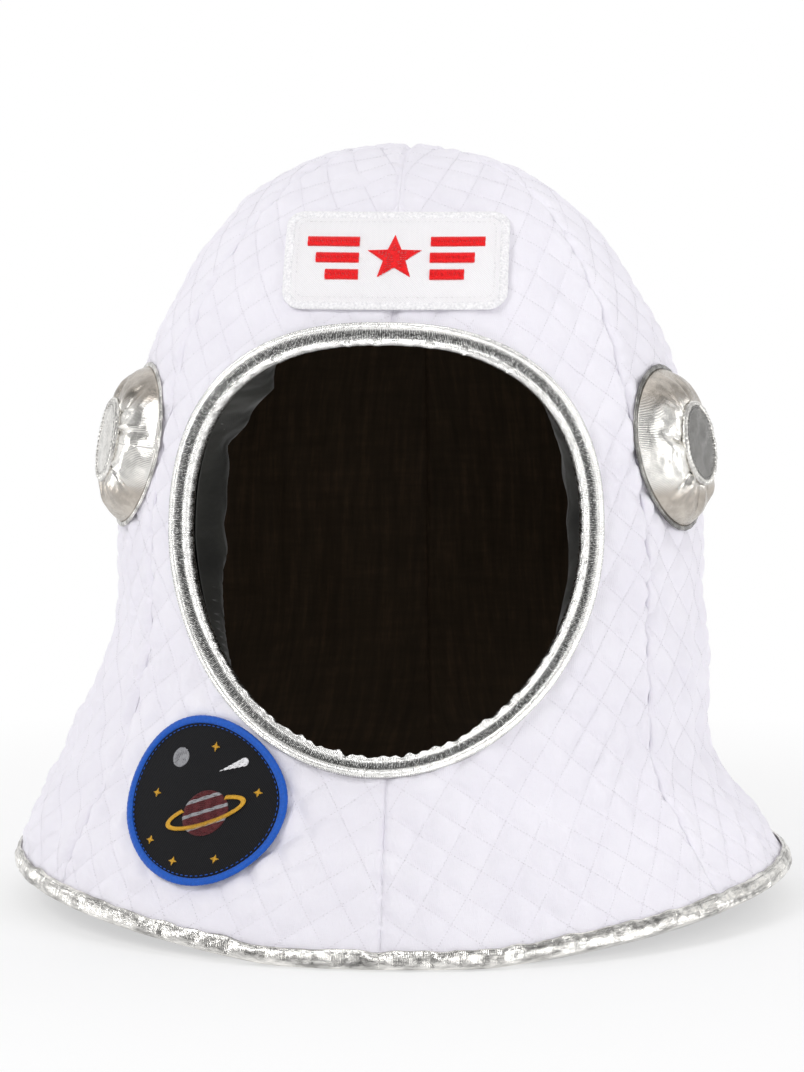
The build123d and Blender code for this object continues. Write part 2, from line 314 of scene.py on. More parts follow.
def on_shell(seat, across, upwards, outset):
    """Points on the shell at distances across and up from a seat, lifted by an outset, and their normals.

    A seat is an angle from the front and a height.
    """
    angle, height = seat
    length = length_at(height) - upwards
    turned = radians(angle) + np.arcsin(np.clip(across / reach_at(length), -1, 1))
    point, normal, _ = bare_frame(turned, length)
    return point + normal * np.asarray(outset)[..., None], normal


# Places held down by patches and pods

def seat_frame(seat):
    """A seat's point, normal, level direction and upward direction."""
    angle, height = seat
    point, normal, down = bare_frame(np.array(radians(angle)), np.array(length_at(height)))
    level = np.array([cos(radians(angle)), sin(radians(angle)), 0.0])
    return point, normal, level, np.cross(normal, level)


forehead_seat = (0.0, float(height_at(length_at(forehead_patch_foot) - forehead_patch_height / 2)))
round_seat = (round_patch_angle, round_patch_centre_height)
pod_seats = {"right": (right_pod_angle, pod_height), "left": (left_pod_angle, pod_height)}

# Each held place, as its frame, half width, half height and how its reach is measured
held_places = [
    (seat_frame(forehead_seat), forehead_patch_width / 2, forehead_patch_height / 2, np.maximum),
    (seat_frame(round_seat), round_patch_radius * round_patch_stretch, round_patch_radius, np.hypot),
]
for seat in pod_seats.values():
    held_places.append((seat_frame(seat), pod_flange_radius, pod_flange_radius, np.hypot))


def patch_reach(points):
    """How far points are from the middle of the nearest patch or pod, as a share of its half width."""
    nearest = 9.0
    for (centre, normal, level, upwards), half_width, half_height, measure in held_places:
        offset = points - centre
        reach = measure(np.abs(offset @ level) / half_width, np.abs(offset @ upwards) / half_height)
        nearest = np.minimum(nearest, np.where(np.abs(offset @ normal) < 0.03, reach, 9.0))
    return nearest


# Quilting and folds of the cover

def quilt_place(gore, angle, length):
    """The place on a gore's quilting, along its two stitch directions."""
    _, first, second, turn = gore
    across = (angle - radians((first + second) / 2)) * reach_at(length)
    c, s = cos(radians(turn)), sin(radians(turn))
    return across * c - length * s, across * s + length * c


def cover_swell(gore, angle, length, points):
    """How far the quilted cover stands out from the smooth face."""
    _, first, second, _ = gore
    pillow = 1.0
    for place in quilt_place(gore, angle, length):
        distance = np.abs(place / quilt_square - np.round(place / quilt_square)) * quilt_square
        pillow = pillow * (0.55 * (1 - bell(distance, quilt_valley_width))
                           + 0.45 * np.sin(pi * distance / quilt_square))
    softness = 0.75 + 0.25 * soft_waves(points, 0.07, 3)
    calm = 1.0 - dome_calm * share((points[..., 2] - 0.22) / 0.09)
    swell = calm * ((quilt_valley + quilt_crown) * pillow * softness - quilt_valley)
    for height, wavelength, seed in cover_folds:
        swell = swell + height * soft_waves(points, wavelength, seed)
    low = share((0.20 - points[..., 2]) / 0.12) * np.abs(np.sin(angle)) ** 2
    upright_folds = np.sin(angle * skirt_fold_count + 3 * soft_waves(points, 0.16, 21))
    swell = swell + skirt_fold_height * low * upright_folds

    seam_distance = np.minimum(angle - radians(first), radians(second) - angle) * reach_at(length)
    pucker = np.sin(2 * pi * length / seam_pucker_pitch + 2 * soft_waves(points, 0.03, 34))
    swell = swell + seam_pucker * pucker * bell(seam_distance - 0.003, 0.004)
    swell = swell + seam_bulge * bell(seam_distance - 0.006, 0.005)
    swell = swell - seam_valley * bell(seam_distance, seam_valley_width)

    free = share((hem_length(angle, 0.0) - length - binding_height * 0.7) / 0.012)
    swell = swell * free - 0.0005 * (1 - free)
    pressed = share((1.07 - patch_reach(points)) / 0.08)
    return swell - pressed * np.maximum(swell + 0.0002, 0.0)


def lining_sag(angle, points):
    """How far the lining hangs in folds from the foam, with its deep pouch at each side of the opening."""
    x, y, height = points[..., 0], points[..., 1], points[..., 2]
    folds = soft_waves(points * np.array([1.0, 1.0, 0.45]), 0.085, 55)
    creases = soft_waves(points * np.array([1.0, 1.0, 0.6]), 0.032, 58)
    side = share(np.abs(np.sin(angle)) * 1.3)
    sag = lining_fold_depth * (folds + 1.0).clip(0, 2.4) + lining_crease_depth * creases.clip(-1, 2)
    sag = side * sag + 0.0004
    beside = np.where(x < 0, 1.0, 0.62) * share(-y / 0.05)
    beside = beside * share((np.abs(x - opening_aside) - 0.050) / 0.03)
    reach = share((height - 0.085) / 0.09) * share((0.325 - height) / 0.06)
    level = opening_level(points, 0.0)
    pouch = share((level - 1.0) / 0.10) ** 0.7 * bell((level - 1.10).clip(0, 9), 0.22)
    pleat = 1.0 - 0.20 * bell(height - 0.262 - x * 0.3, 0.007) - 0.08 * bell(height - 0.176, 0.022)
    for depth, wavelength, seed in pleat_folds:
        pleat = pleat + depth * soft_waves(points, wavelength, seed)
    return sag + lining_pouch * beside * reach * pouch * pleat


# Meshes

def add_object(name, data):
    made = bpy.data.objects.new(name, data)
    bpy.context.scene.collection.objects.link(made)
    return made


def cloth_places(along, across):
    """The places of a grid on its flat cloth, from distances that broadcast to the grid."""
    return np.stack(np.broadcast_arrays(along, across), axis=-1)


def make_piece(name, points, faces, material, replaces=(), uv=None):
    """One object of the part, with its place in its mesh."""
    mesh = bpy.data.meshes.new(name)
    mesh.from_pydata(np.asarray(points).reshape(-1, 3).tolist(), [], faces)
    if uv is not None:
        layer = mesh.uv_layers.new(name="cloth")
        corners = np.zeros(len(mesh.loops), dtype=np.int32)
        mesh.loops.foreach_get("vertex_index", corners)
        layer.data.foreach_set("uv", np.asarray(uv, dtype=np.float32).reshape(-1, 2)[corners].ravel())
    mesh.shade_smooth()
    piece = add_object(name, mesh)
    for one in material if isinstance(material, list) else [material]:
        mesh.materials.append(one)
    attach(piece, "root")
    if replaces:
        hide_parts(*replaces)
    return piece


def tidied(piece, outwards=True):
    """Deletes the points that no face uses, and points every face of a closed mesh outwards."""
    work = bmesh.new()
    work.from_mesh(piece.data)
    loose = [vertex for vertex in work.verts if not vertex.link_faces]
    bmesh.ops.delete(work, geom=loose, context="VERTS")
    if outwards:
        bmesh.ops.recalc_face_normals(work, faces=work.faces)
    work.to_mesh(piece.data)
    work.free()
    return piece


def ring_faces(rows, columns, wrap_rows, poles=False):
    """Faces of a grid whose columns close on themselves. With poles, its end rows are one point each."""
    faces = []
    for row in range(rows if wrap_rows else rows - 1):
        below = (row + 1) % rows
        for column in range(columns):
            beside = (column + 1) % columns
            corners = [row * columns + column, below * columns + column,
                       below * columns + beside, row * columns + beside]
            if poles and row == 0:
                corners = [0, corners[1], corners[2]]
            if poles and below == rows - 1:
                corners = [corners[0], below * columns, corners[3]]
            faces.append(corners)
    return faces


def gore_layer(name, gore, spacing, outset, thickness, swell, growth, lift, material, replaces):
    """One gore of one layer, as a closed thin mesh that is cut round the face opening."""
    first, second = radians(gore[1]), radians(gore[2])
    columns = int((second - first) * (dome_half_width + skirt_flare) / spacing) + 1
    rows = int(crown_to_hem / spacing)
    angles = np.linspace(first, second, columns + 1)
    angle = np.broadcast_to(angles, (rows + 1, columns + 1)).copy()
    length = np.linspace(0.0, 1.0, rows + 1)[:, None] * hem_length(angles, lift)[None, :]

    index = np.arange((rows + 1) * (columns + 1)).reshape(rows + 1, columns + 1)
    index[0, :] = 0
    quads = np.stack([index[:-1, :-1], index[1:, :-1], index[1:, 1:], index[:-1, 1:]], axis=-1)
    quads = quads.reshape(-1, 4)
    if growth is not None:
        place = bare_point(angle, length)
        level = opening_level(place, growth).ravel()
        inside = (level < 1.0)[quads].any(axis=1)
        kept, cut = quads[~inside], quads[inside]
        edge = np.intersect1d(kept, cut)
        middle = np.array([opening_aside, 0.0, opening_widest_height])
        snapped = (place.reshape(-1, 3)[edge] - middle) / level[edge][:, None] + middle
        edge_angle, edge_length = on_front(snapped[:, 0], snapped[:, 2])
        angle.ravel()[edge] = np.clip(np.where(first > pi, edge_angle + 2 * pi, edge_angle), first, second)
        length.ravel()[edge] = edge_length
        quads = kept

    angle, length = angle.ravel(), length.ravel()
    place, normal, _ = bare_frame(angle, length)
    normal[0] = (0.0, 0.0, 1.0)
    place[0] = (0.0, 0.0, helmet_height)
    outer_swell, inner_swell = swell(gore, angle, length, place)
    outer = place + normal * (outset + outer_swell)[:, None]
    inner = place + normal * (outset - thickness + inner_swell)[:, None]

    count = len(place)
    faces = [[a, b, c] if a == d else [a, b, c, d] for a, b, c, d in quads.tolist()]
    edges = dict.fromkeys(pair for face in faces for pair in zip(face, face[1:] + face[:1]))
    walls = [[end, start, start + count, end + count] for start, end in edges if (end, start) not in edges]
    under = [[corner + count for corner in reversed(face)] for face in faces]
    cloth = np.stack([(angle - (first + second) / 2) * reach_at(length), length], axis=-1)
    piece = make_piece(name, np.concatenate([outer, inner]), faces + under + walls, material,
                       replaces, uv=np.concatenate([cloth, cloth]))
    return tidied(piece, outwards=False)


# Stitches, laid by Geometry Nodes on points that know their thread's direction

def add_node(tree, kind, inputs, **settings):
    """A node with its settings, and each input set to a value or linked to another node."""
    made = tree.nodes.new(kind)
    for title, value in settings.items():
        setattr(made, title, value)
    for socket, value in inputs.items():
        if isinstance(value, bpy.types.NodeSocket):
            tree.links.new(value, made.inputs[socket])
        else:
            made.inputs[socket].default_value = value
    return made


stitch_sizes = ("Stitch length", "Stitch width", "Stitch height")


def stitch_tree():
    """Lays one small round-ended stitch on every point, along the point's own direction."""
    tree = bpy.data.node_groups.new("thread_stitches", "GeometryNodeTree")
    tree.interface.new_socket("Geometry", in_out="INPUT", socket_type="NodeSocketGeometry")
    for title in stitch_sizes:
        tree.interface.new_socket(title, in_out="INPUT", socket_type="NodeSocketFloat")
    tree.interface.new_socket("Thread", in_out="INPUT", socket_type="NodeSocketMaterial")
    tree.interface.new_socket("Geometry", in_out="OUTPUT", socket_type="NodeSocketGeometry")
    enter = tree.nodes.new("NodeGroupInput").outputs
    bead = add_node(tree, "GeometryNodeMeshIcoSphere", {"Radius": 0.5, "Subdivisions": 1})
    uneven = add_node(tree, "FunctionNodeRandomValue", {2: 0.85, 3: 1.12, "Seed": 7}, data_type="FLOAT")
    long = add_node(tree, "ShaderNodeMath", {0: enter["Stitch length"], 1: uneven.outputs[1]},
                    operation="MULTIPLY")
    size = add_node(tree, "ShaderNodeCombineXYZ",
                    {"X": long.outputs[0], "Y": enter["Stitch width"], "Z": enter["Stitch height"]})
    along, outwards = [
        add_node(tree, "GeometryNodeInputNamedAttribute", {"Name": title}, data_type="FLOAT_VECTOR")
        for title in ("along", "outwards")
    ]
    turn = add_node(tree, "FunctionNodeAxesToRotation",
                    {0: along.outputs["Attribute"], 1: outwards.outputs["Attribute"]},
                    primary_axis="X", secondary_axis="Z")
    placed = add_node(tree, "GeometryNodeInstanceOnPoints",
                      {"Points": enter["Geometry"], "Instance": bead.outputs["Mesh"],
                       "Rotation": turn.outputs["Rotation"], "Scale": size.outputs["Vector"]})
    real = add_node(tree, "GeometryNodeRealizeInstances", {"Geometry": placed.outputs["Instances"]})
    smooth = add_node(tree, "GeometryNodeSetShadeSmooth", {"Geometry": real.outputs["Geometry"]})
    painted = add_node(tree, "GeometryNodeSetMaterial",
                       {"Geometry": smooth.outputs["Geometry"], "Material": enter["Thread"]})
    add_node(tree, "NodeGroupOutput", {"Geometry": painted.outputs["Geometry"]})
    return tree


stitches_group = stitch_tree()


def lay_stitches(name, points, along, outwards, size, material, slot):
    """A piece of separate stitches, one on each point."""
    mesh = bpy.data.meshes.new(name)
    mesh.from_pydata(np.asarray(points).tolist(), [], [])
    for title, vectors in (("along", along), ("outwards", outwards)):
        attribute = mesh.attributes.new(title, "FLOAT_VECTOR", "POINT")
        attribute.data.foreach_set("vector", np.asarray(vectors, dtype=np.float32).ravel())
    piece = add_object(name, mesh)
    modifier = piece.modifiers.new("stitches", "NODES")
    modifier.node_group = stitches_group
    sockets = {item.name: item.identifier for item in stitches_group.interface.items_tree
               if item.in_out == "INPUT"}
    for title, value in zip((*stitch_sizes, "Thread"), (*size, material)):
        modifier[sockets[title]] = value
    bpy.context.view_layer.update()
    evaluated = piece.evaluated_get(bpy.context.evaluated_depsgraph_get())
    plain = bpy.data.meshes.new_from_object(evaluated)
    piece.modifiers.clear()
    piece.data = plain
    for title in ("along", "outwards"):
        if title in plain.attributes:
            plain.attributes.remove(plain.attributes[title])
    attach(piece, "root")
    return piece


def interpolated(at, lengths, places):
    """The places of a line at lengths along it."""
    return np.stack([np.interp(at, lengths, row) for row in places.T], axis=-1)


def stitch_line(places, pitch):
    """Points a pitch apart round a closed line of places, with the direction of the line there."""
    places = np.concatenate([places, places[:1]])
    lengths = lengths_along(places)
    at = np.linspace(0.0, lengths[-1], int(lengths[-1] / pitch), endpoint=False)
    points = interpolated(at, lengths, places)
    return points, unit(interpolated(at + pitch / 4, lengths, places) - points)


# Materials

shader_levels = {"sheen": "Sheen Weight", "sheen_roughness": "Sheen Roughness",
                 "specular": "Specular IOR Level"}
silver_tint = (1.0, 0.98, 0.94)


def new_material(name, colour, roughness, metallic=0.0, **levels):
    """A material and its tree, with its shader's plain levels set."""
    made = bpy.data.materials.new(name)
    made.use_nodes = True
    shader = made.node_tree.nodes["Principled BSDF"]
    shader.inputs["Base Color"].default_value = (*colour, 1.0)
    shader.inputs["Roughness"].default_value = roughness
    shader.inputs["Metallic"].default_value = metallic
    for title, value in levels.items():
        shader.inputs[shader_levels[title]].default_value = value
    return made, made.node_tree


def coordinate(tree, kind, scale=(1.0, 1.0, 1.0)):
    """Object or UV coordinates, scaled."""
    read = tree.nodes.new("ShaderNodeTexCoord").outputs[kind]
    return add_node(tree, "ShaderNodeMapping", {"Vector": read, "Scale": scale}).outputs["Vector"]


def noise(tree, vector, scale, detail=3.0, roughness=0.55):
    inputs = {"Vector": vector, "Scale": scale, "Detail": detail, "Roughness": roughness}
    return add_node(tree, "ShaderNodeTexNoise", inputs).outputs["Fac"]


def wave(tree, vector, scale, direction, distortion=0.0):
    inputs = {"Vector": vector, "Scale": scale, "Distortion": distortion, "Detail": 1.0}
    return add_node(tree, "ShaderNodeTexWave", inputs, bands_direction=direction).outputs["Fac"]


def maths(tree, operation, *values):
    return add_node(tree, "ShaderNodeMath", dict(enumerate(values)), operation=operation).outputs[0]


def shaded(tree, colour, shade):
    """A colour multiplied by a shade."""
    made = add_node(tree, "ShaderNodeVectorMath", {0: colour, 1: shade}, operation="MULTIPLY")
    return made.outputs["Vector"]


def ramp(tree, factor, stops):
    """Colours along a factor, as places and colours."""
    made = add_node(tree, "ShaderNodeValToRGB", {"Fac": factor})
    while len(made.color_ramp.elements) < len(stops):
        made.color_ramp.elements.new(0.5)
    for element, (place, colour) in zip(made.color_ramp.elements, stops):
        element.position = place
        element.color = (*colour, 1.0)
    return made.outputs["Color"]


def dressed(made, colour, heights, roughness=None):
    """Gives a material its colour, and bumps one on another, each a height, a distance and a strength."""
    tree = made.node_tree
    shader = tree.nodes["Principled BSDF"]
    tree.links.new(colour, shader.inputs["Base Color"])
    if roughness is not None:
        tree.links.new(roughness, shader.inputs["Roughness"])
    below = {}
    for height, distance, strength in heights:
        inputs = {"Height": height, "Distance": distance, "Strength": strength}
        below = {"Normal": add_node(tree, "ShaderNodeBump", {**inputs, **below}).outputs["Normal"]}
    tree.links.new(below["Normal"], shader.inputs["Normal"])
    return made


def quilted_cloth():
    """Brushed white cloth with a faint lavender cast and fine upright ribs."""
    made, tree = new_material("quilted_cloth", (0.86, 0.84, 0.90), 0.82, sheen=0.12, sheen_roughness=0.45,
                              specular=0.25)
    cloth = coordinate(tree, "UV")
    tint = noise(tree, cloth, 28.0)
    colour = ramp(tree, tint, [(0.3, (0.855, 0.832, 0.900)), (0.7, (0.900, 0.880, 0.938))])
    wrinkles = noise(tree, cloth, 150.0, 3.0)
    ribs = wave(tree, cloth, 330.0, "X", 1.2)
    picks = wave(tree, cloth, 420.0, "Y", 1.0)
    fuzz = noise(tree, cloth, 1900.0, 2.0)
    return dressed(made, colour, [(wrinkles, 0.0012, 0.4), (ribs, 0.00010, 0.5), (picks, 0.00006, 0.4),
                                  (fuzz, 0.00012, 0.5)])


def silver_lame(name, darkest, rib_scale, crumple, streaks=None, painted_brightness=1.0, painted_highlight_band=None):
    """Metallic knit: fine ribs under a crumpled, unevenly bright foil, which a side's lit or shaded copy
    darkens all over as painted shade.

    streaks stretch the dark patches along the cloth. The band's first number is the height of a painted
    highlight round the middle, and its second how far from there the foil turns warm grey as painted shade.
    """
    made, tree = new_material(name, (0.74, 0.73, 0.70), 0.27, 1.0)
    place = coordinate(tree, "Object")
    if streaks:
        patches = noise(tree, coordinate(tree, "UV", (*streaks, 1.0)), 1.0, 4.0, 0.62)
    else:
        patches = noise(tree, place, 130.0, 4.0, 0.62)
    tones = [(0.36, darkest), (0.45, 0.5 * darkest + 0.42), (0.60, 0.95)]
    colour = ramp(tree, patches, [
        (at, tuple(tone * painted_brightness * tint for tint in silver_tint)) for at, tone in tones
    ])
    rib = wave(tree, coordinate(tree, "UV"), rib_scale, "X", 0.8)
    # Painted highlight round the pod's middle, turning to warm grey painted shade towards its top and foot.
    if painted_highlight_band:
        middle, reach = painted_highlight_band
        height = add_node(tree, "ShaderNodeSeparateXYZ", {"Vector": place}).outputs["Z"]
        away = maths(tree, "ABSOLUTE", maths(tree, "SUBTRACT", height, middle))
        uneven = maths(tree, "ADD", maths(tree, "MULTIPLY", patches, 0.25),
                       maths(tree, "MULTIPLY", rib, 0.14))
        edge = maths(tree, "ADD", maths(tree, "MULTIPLY", away, 1.0 / reach), uneven)
        colour = shaded(tree, colour, ramp(tree, edge, [
            (0.60, (1.0, 1.0, 1.0)),
            (0.74, (0.52, 0.48, 0.44)),
            (0.98, (0.64, 0.60, 0.56)),
        ]))
    crinkle = noise(tree, place, 420.0, 4.0, 0.6)
    folds = noise(tree, place, 170.0, 2.0)
    bumps = [(folds, 0.0012, crumple), (crinkle, 0.0006, crumple), (rib, 0.00012, 0.5)]
    return dressed(made, colour, bumps, roughness=maths(tree, "MULTIPLY_ADD", crinkle, 0.24, 0.10))


def piping_lame():
    """The silver piping: a smooth bright ridge beside a gathered band, darkened by painted shade in the
    groove between them, at the outer edge and underneath.
    """
    made, tree = new_material("piping_lame", (0.78, 0.77, 0.74), 0.24, 1.0)
    place = coordinate(tree, "Object")
    # Painted shade, read from the piping's points: dark in the groove between the rolls, faint along the
    # gathers, grey at the outer edge and middling underneath.
    painted_groove_shade = add_node(tree, "ShaderNodeAttribute", {}, attribute_name="painted_groove_shade").outputs["Fac"]
    speckle = noise(tree, place, 900.0, 3.0, 0.7)
    gathers = wave(tree, coordinate(tree, "UV"), 420.0, "X", 3.0)
    ribbed = maths(tree, "MULTIPLY", gathers, maths(tree, "ADD", painted_groove_shade, 0.30))
    grain = maths(tree, "MULTIPLY", speckle, maths(tree, "ADD", gathers, 0.55))
    # The more painted shade, the darker the foil, broken up by the speckle and the gathers.
    dark = maths(tree, "MULTIPLY", painted_groove_shade, maths(tree, "SUBTRACT", 1.10, grain))
    colour = ramp(tree, dark, [
        (0.15, (0.95, 0.94, 0.92)),
        (0.38, (0.42, 0.42, 0.41)),
        (0.70, (0.06, 0.06, 0.06)),
    ])
    crinkle = noise(tree, place, 360.0, 3.0)
    return dressed(made, colour, [(ribbed, 0.0004, 0.6), (crinkle, 0.0005, 0.3), (speckle, 0.00012, 0.3)],
                   roughness=maths(tree, "MULTIPLY_ADD", speckle, 0.22, 0.15))


def lining_satin():
    """Black satin with a soft grey sheen and lint, with painted light and shade along its folds."""
    made, tree = new_material("lining_satin", (0.022, 0.022, 0.020), 0.48, sheen=0.28, sheen_roughness=0.35,
                              specular=0.5)
    cloth = coordinate(tree, "UV")
    colour = ramp(tree, noise(tree, cloth, 700.0, 5.0, 0.75), [
        (0.45, (0.028, 0.028, 0.025)),
        (0.68, (0.041, 0.041, 0.037)),
        (0.80, (0.130, 0.130, 0.122)),
    ])
    folds = noise(tree, coordinate(tree, "UV", (48.0, 20.0, 1.0)), 1.0, 2.0)
    # Painted light and shade along the folds: the colour is darkened in the fold hollows and lightened past
    # its own colour on their crests.
    shade = ramp(tree, folds, [(0.36, (0.42, 0.42, 0.42)), (0.62, (1.25, 1.25, 1.22))])
    wrinkle = noise(tree, cloth, 45.0, 3.0)
    weave = wave(tree, cloth, 900.0, "DIAGONAL", 0.4)
    return dressed(made, shaded(tree, colour, shade),
                   [(folds, 0.010, 0.7), (wrinkle, 0.004, 0.5), (weave, 0.00008, 0.5)])


def back_lining():
    """Thin dark cloth, painted brown and lighter along its weave as light that shines through it from
    behind.
    """
    made, tree = new_material("back_lining", (0.014, 0.009, 0.006), 0.72, specular=0.08)
    streaks = noise(tree, coordinate(tree, "UV", (210.0, 26.0, 1.0)), 1.0, 4.0, 0.6)
    cross = noise(tree, coordinate(tree, "UV", (24.0, 190.0, 1.0)), 1.0, 3.0, 0.6)
    both = maths(tree, "ADD", maths(tree, "MULTIPLY", streaks, 0.7), maths(tree, "MULTIPLY", cross, 0.3))
    # Painted light: a brown glow, lighter along the weave's streaks, stands in for light shining through
    # the cloth from behind.
    colour = ramp(tree, both, [
        (0.34, (0.0350, 0.0245, 0.0155)),
        (0.52, (0.0520, 0.0350, 0.0215)),
        (0.70, (0.0850, 0.0540, 0.0320)),
    ])
    cloth = coordinate(tree, "UV")
    return dressed(made, colour, [(wave(tree, cloth, 500.0, way, 0.5), 0.0001, 0.5) for way in ("X", "Y")])


def open_foam():
    """Pale grey open-cell foam, painted darker with the depth of its cells as shade."""
    made, tree = new_material("open_foam", (0.55, 0.54, 0.50), 0.95)
    cells = add_node(tree, "ShaderNodeTexVoronoi", {"Vector": coordinate(tree, "Object"), "Scale": 900.0})
    depth = cells.outputs["Distance"]
    # Painted shade: darker the deeper into a cell.
    colour = ramp(tree, depth, [(0.0, (0.60, 0.58, 0.52)), (0.8, (0.42, 0.41, 0.37))])
    return dressed(made, colour, [(depth, 0.0006, 0.9)])


def stuffing():
    """Loose white polyester filling, painted darker where its wisps sink as shade."""
    made, tree = new_material("stuffing", (0.80, 0.79, 0.77), 0.95)
    wisps = noise(tree, coordinate(tree, "Object"), 260.0, 6.0, 0.75)
    # Painted shade: darker where the wisps sink, lighter where they stand up.
    colour = ramp(tree, wisps, [(0.3, (0.66, 0.65, 0.63)), (0.7, (0.86, 0.85, 0.83))])
    return dressed(made, colour, [(wisps, 0.002, 0.8)])


def patch_twill(name, low, high, roughness, sheen):
    """Tight twill: slanting ribs crossed by fine threads."""
    made, tree = new_material(name, high, roughness, sheen=sheen, specular=0.2)
    cloth = coordinate(tree, "UV")
    slant = wave(tree, cloth, 560.0, "DIAGONAL", 0.3)
    fleck = noise(tree, cloth, 1500.0, 3.0, 0.7)
    both = maths(tree, "MULTIPLY", maths(tree, "ADD", slant, fleck), 0.5)
    return dressed(made, ramp(tree, both, [(0.3, low), (0.7, high)]),
                   [(slant, 0.00018, 0.8), (fleck, 0.0001, 0.5)])


def thread(name, colour, roughness):
    """Twisted thread with a satin gloss."""
    made, tree = new_material(name, colour, roughness, sheen=0.05, specular=0.25)
    place = coordinate(tree, "Object")
    low = tuple(channel * 0.84 for channel in colour)
    high = tuple(min(channel * 1.10, 1.0) for channel in colour)
    shade = ramp(tree, noise(tree, place, 900.0, 3.0, 0.6), [(0.32, low), (0.68, high)])
    return dressed(made, shade, [(noise(tree, place, 3200.0, 2.0), 0.00008, 0.6)])


cloth_white = quilted_cloth()
lame_piping = piping_lame()
lame_binding = silver_lame("binding_lame", 0.34, 420.0, 0.38, streaks=(55.0, 230.0))
# Pod walls: a painted highlight round the middle and painted shade above and below.
lame_pod = silver_lame("pod_lame", 0.76, 480.0, 0.09, painted_highlight_band=(pod_height + 0.002, 0.040))
# Caps and flanges come as lit and shaded copies: the right side's darkened and the left side's bright, as
# painted light and shade.
lame_cap = {side: silver_lame(f"cap_lame_{side}", 0.80, 460.0, 0.07, painted_brightness=painted_brightness)
            for side, painted_brightness in (("right", 0.27), ("left", 0.90))}
lame_flange = {side: silver_lame(f"flange_lame_{side}", 0.40, 460.0, 0.35, painted_brightness=painted_brightness)
               for side, painted_brightness in (("right", 0.36), ("left", 0.85))}
satin_black = lining_satin()
backlit_brown_weave = back_lining()
foam_grey = open_foam()
stuffing_white = stuffing()
twill_white = patch_twill("white_twill", (0.89, 0.87, 0.90), (0.97, 0.96, 0.97), 0.7, 0.1)
weave_black = patch_twill("black_weave", (0.003, 0.003, 0.004), (0.014, 0.014, 0.016), 0.8, 0.0)
threads = {title: thread(f"{title}_thread", colour, roughness) for title, colour, roughness in [
    ("quilting", (0.82, 0.80, 0.85), 0.6),
    ("white", (0.91, 0.90, 0.93), 0.6),
    ("red", (0.95, 0.012, 0.016), 0.40),
    ("blue", (0.008, 0.098, 0.50), 0.42),
    ("maroon", (0.115, 0.018, 0.022), 0.42),
    ("gold", (0.66, 0.36, 0.03), 0.38),
    ("grey", (0.36, 0.36, 0.38), 0.45),
    ("topstitch", (0.30, 0.30, 0.29), 0.4),
]}


# Cover, foam and lining, each in six gores

def cover_layer(gore, angle, length, points):
    swell = cover_swell(gore, angle, length, points)
    return swell, np.zeros_like(swell)


def foam_layer(gore, angle, length, points):
    rough = 0.0001 * soft_waves(points, 0.02, 77)
    return rough, rough


def lining_layer(gore, angle, length, points):
    hem = share((points[:, 2] - 0.016) / 0.03)
    held = share((opening_level(points, 0.0) - 1.0) / 0.05) * hem
    sag = -lining_sag(angle, points) * held
    return sag, sag


for gore in gores:
    gore_name = gore[0]
    is_front = gore_name.startswith("front")
    cover_growth = cover_cut_growth if is_front else None
    cover = gore_layer(f"quilted_cover_{gore_name}", gore, cover_spacing, 0.0, cover_thickness, cover_layer,
                       cover_growth, cover_lift, cloth_white, [f"shell_{gore_name}"])
    foam = gore_layer(f"foam_pad_{gore_name}", gore, foam_spacing, foam_outset, foam_thickness, foam_layer,
                      cover_growth, cover_lift, foam_grey, [f"foam_{gore_name}"])
    lining = gore_layer(f"hung_lining_{gore_name}", gore, lining_spacing, lining_outset, lining_thickness,
                        lining_layer, lining_cut_growth if is_front else None, lining_lift,
                        backlit_brown_weave if gore_name.startswith("back") else satin_black,
                        [f"lining_{gore_name}"])


# Quilting stitches

def quilting_points(gore):
    """The stitches of one gore's quilting that show, with their directions."""
    name, first, second, turn = gore
    first, second, turn = radians(first), radians(second), radians(turn)
    squares = int(crown_to_hem / quilt_square) * 2
    lines = np.arange(-squares, squares) * quilt_square
    steps = np.arange(-crown_to_hem * 1.5, crown_to_hem * 1.5, stitch_pitch)
    fixed, moving = np.meshgrid(lines, steps, indexing="ij")
    found = []
    for along_first in (True, False):
        places = []
        for shift in (-stitch_pitch / 4, 0.0, stitch_pitch / 4):
            p, q = (fixed, moving + shift) if along_first else (moving + shift, fixed)
            places.append((p * cos(turn) + q * sin(turn), -p * sin(turn) + q * cos(turn)))
        across, length = places[1]
        radius = np.maximum(reach_at(np.clip(length, 0.0, crown_to_hem)), 0.004)
        angle = (first + second) / 2 + across / radius
        margin = 0.0018 / radius
        good = ((length > 0.006) & (length < crown_to_hem)
                & (angle > first + margin) & (angle < second - margin))
        rows = []
        for across, length in places:
            across, length = across[good], length[good]
            angle = (first + second) / 2 + across / reach_at(length)
            point, normal, _ = bare_frame(angle, length)
            lift = cover_swell(gore, angle, length, point) + stitch_lift
            rows.append((point + normal * lift[:, None], normal, angle, length))
        point, normal, angle, length = rows[1]
        shown = (length < hem_length(angle, binding_height * 0.9)) & (patch_reach(point) > 1.0)
        if name.startswith("front"):
            shown &= opening_level(point, 0.0062) > 1.0
        found.append((point[shown], unit(rows[2][0] - rows[0][0])[shown], normal[shown]))
    return [np.concatenate(parts) for parts in zip(*found)]


for gore in gores:
    lay_stitches(f"quilting_stitches_{gore[0]}", *quilting_points(gore), quilting_stitch,
                 threads["quilting"], "white_thread")


# Piping round the face opening

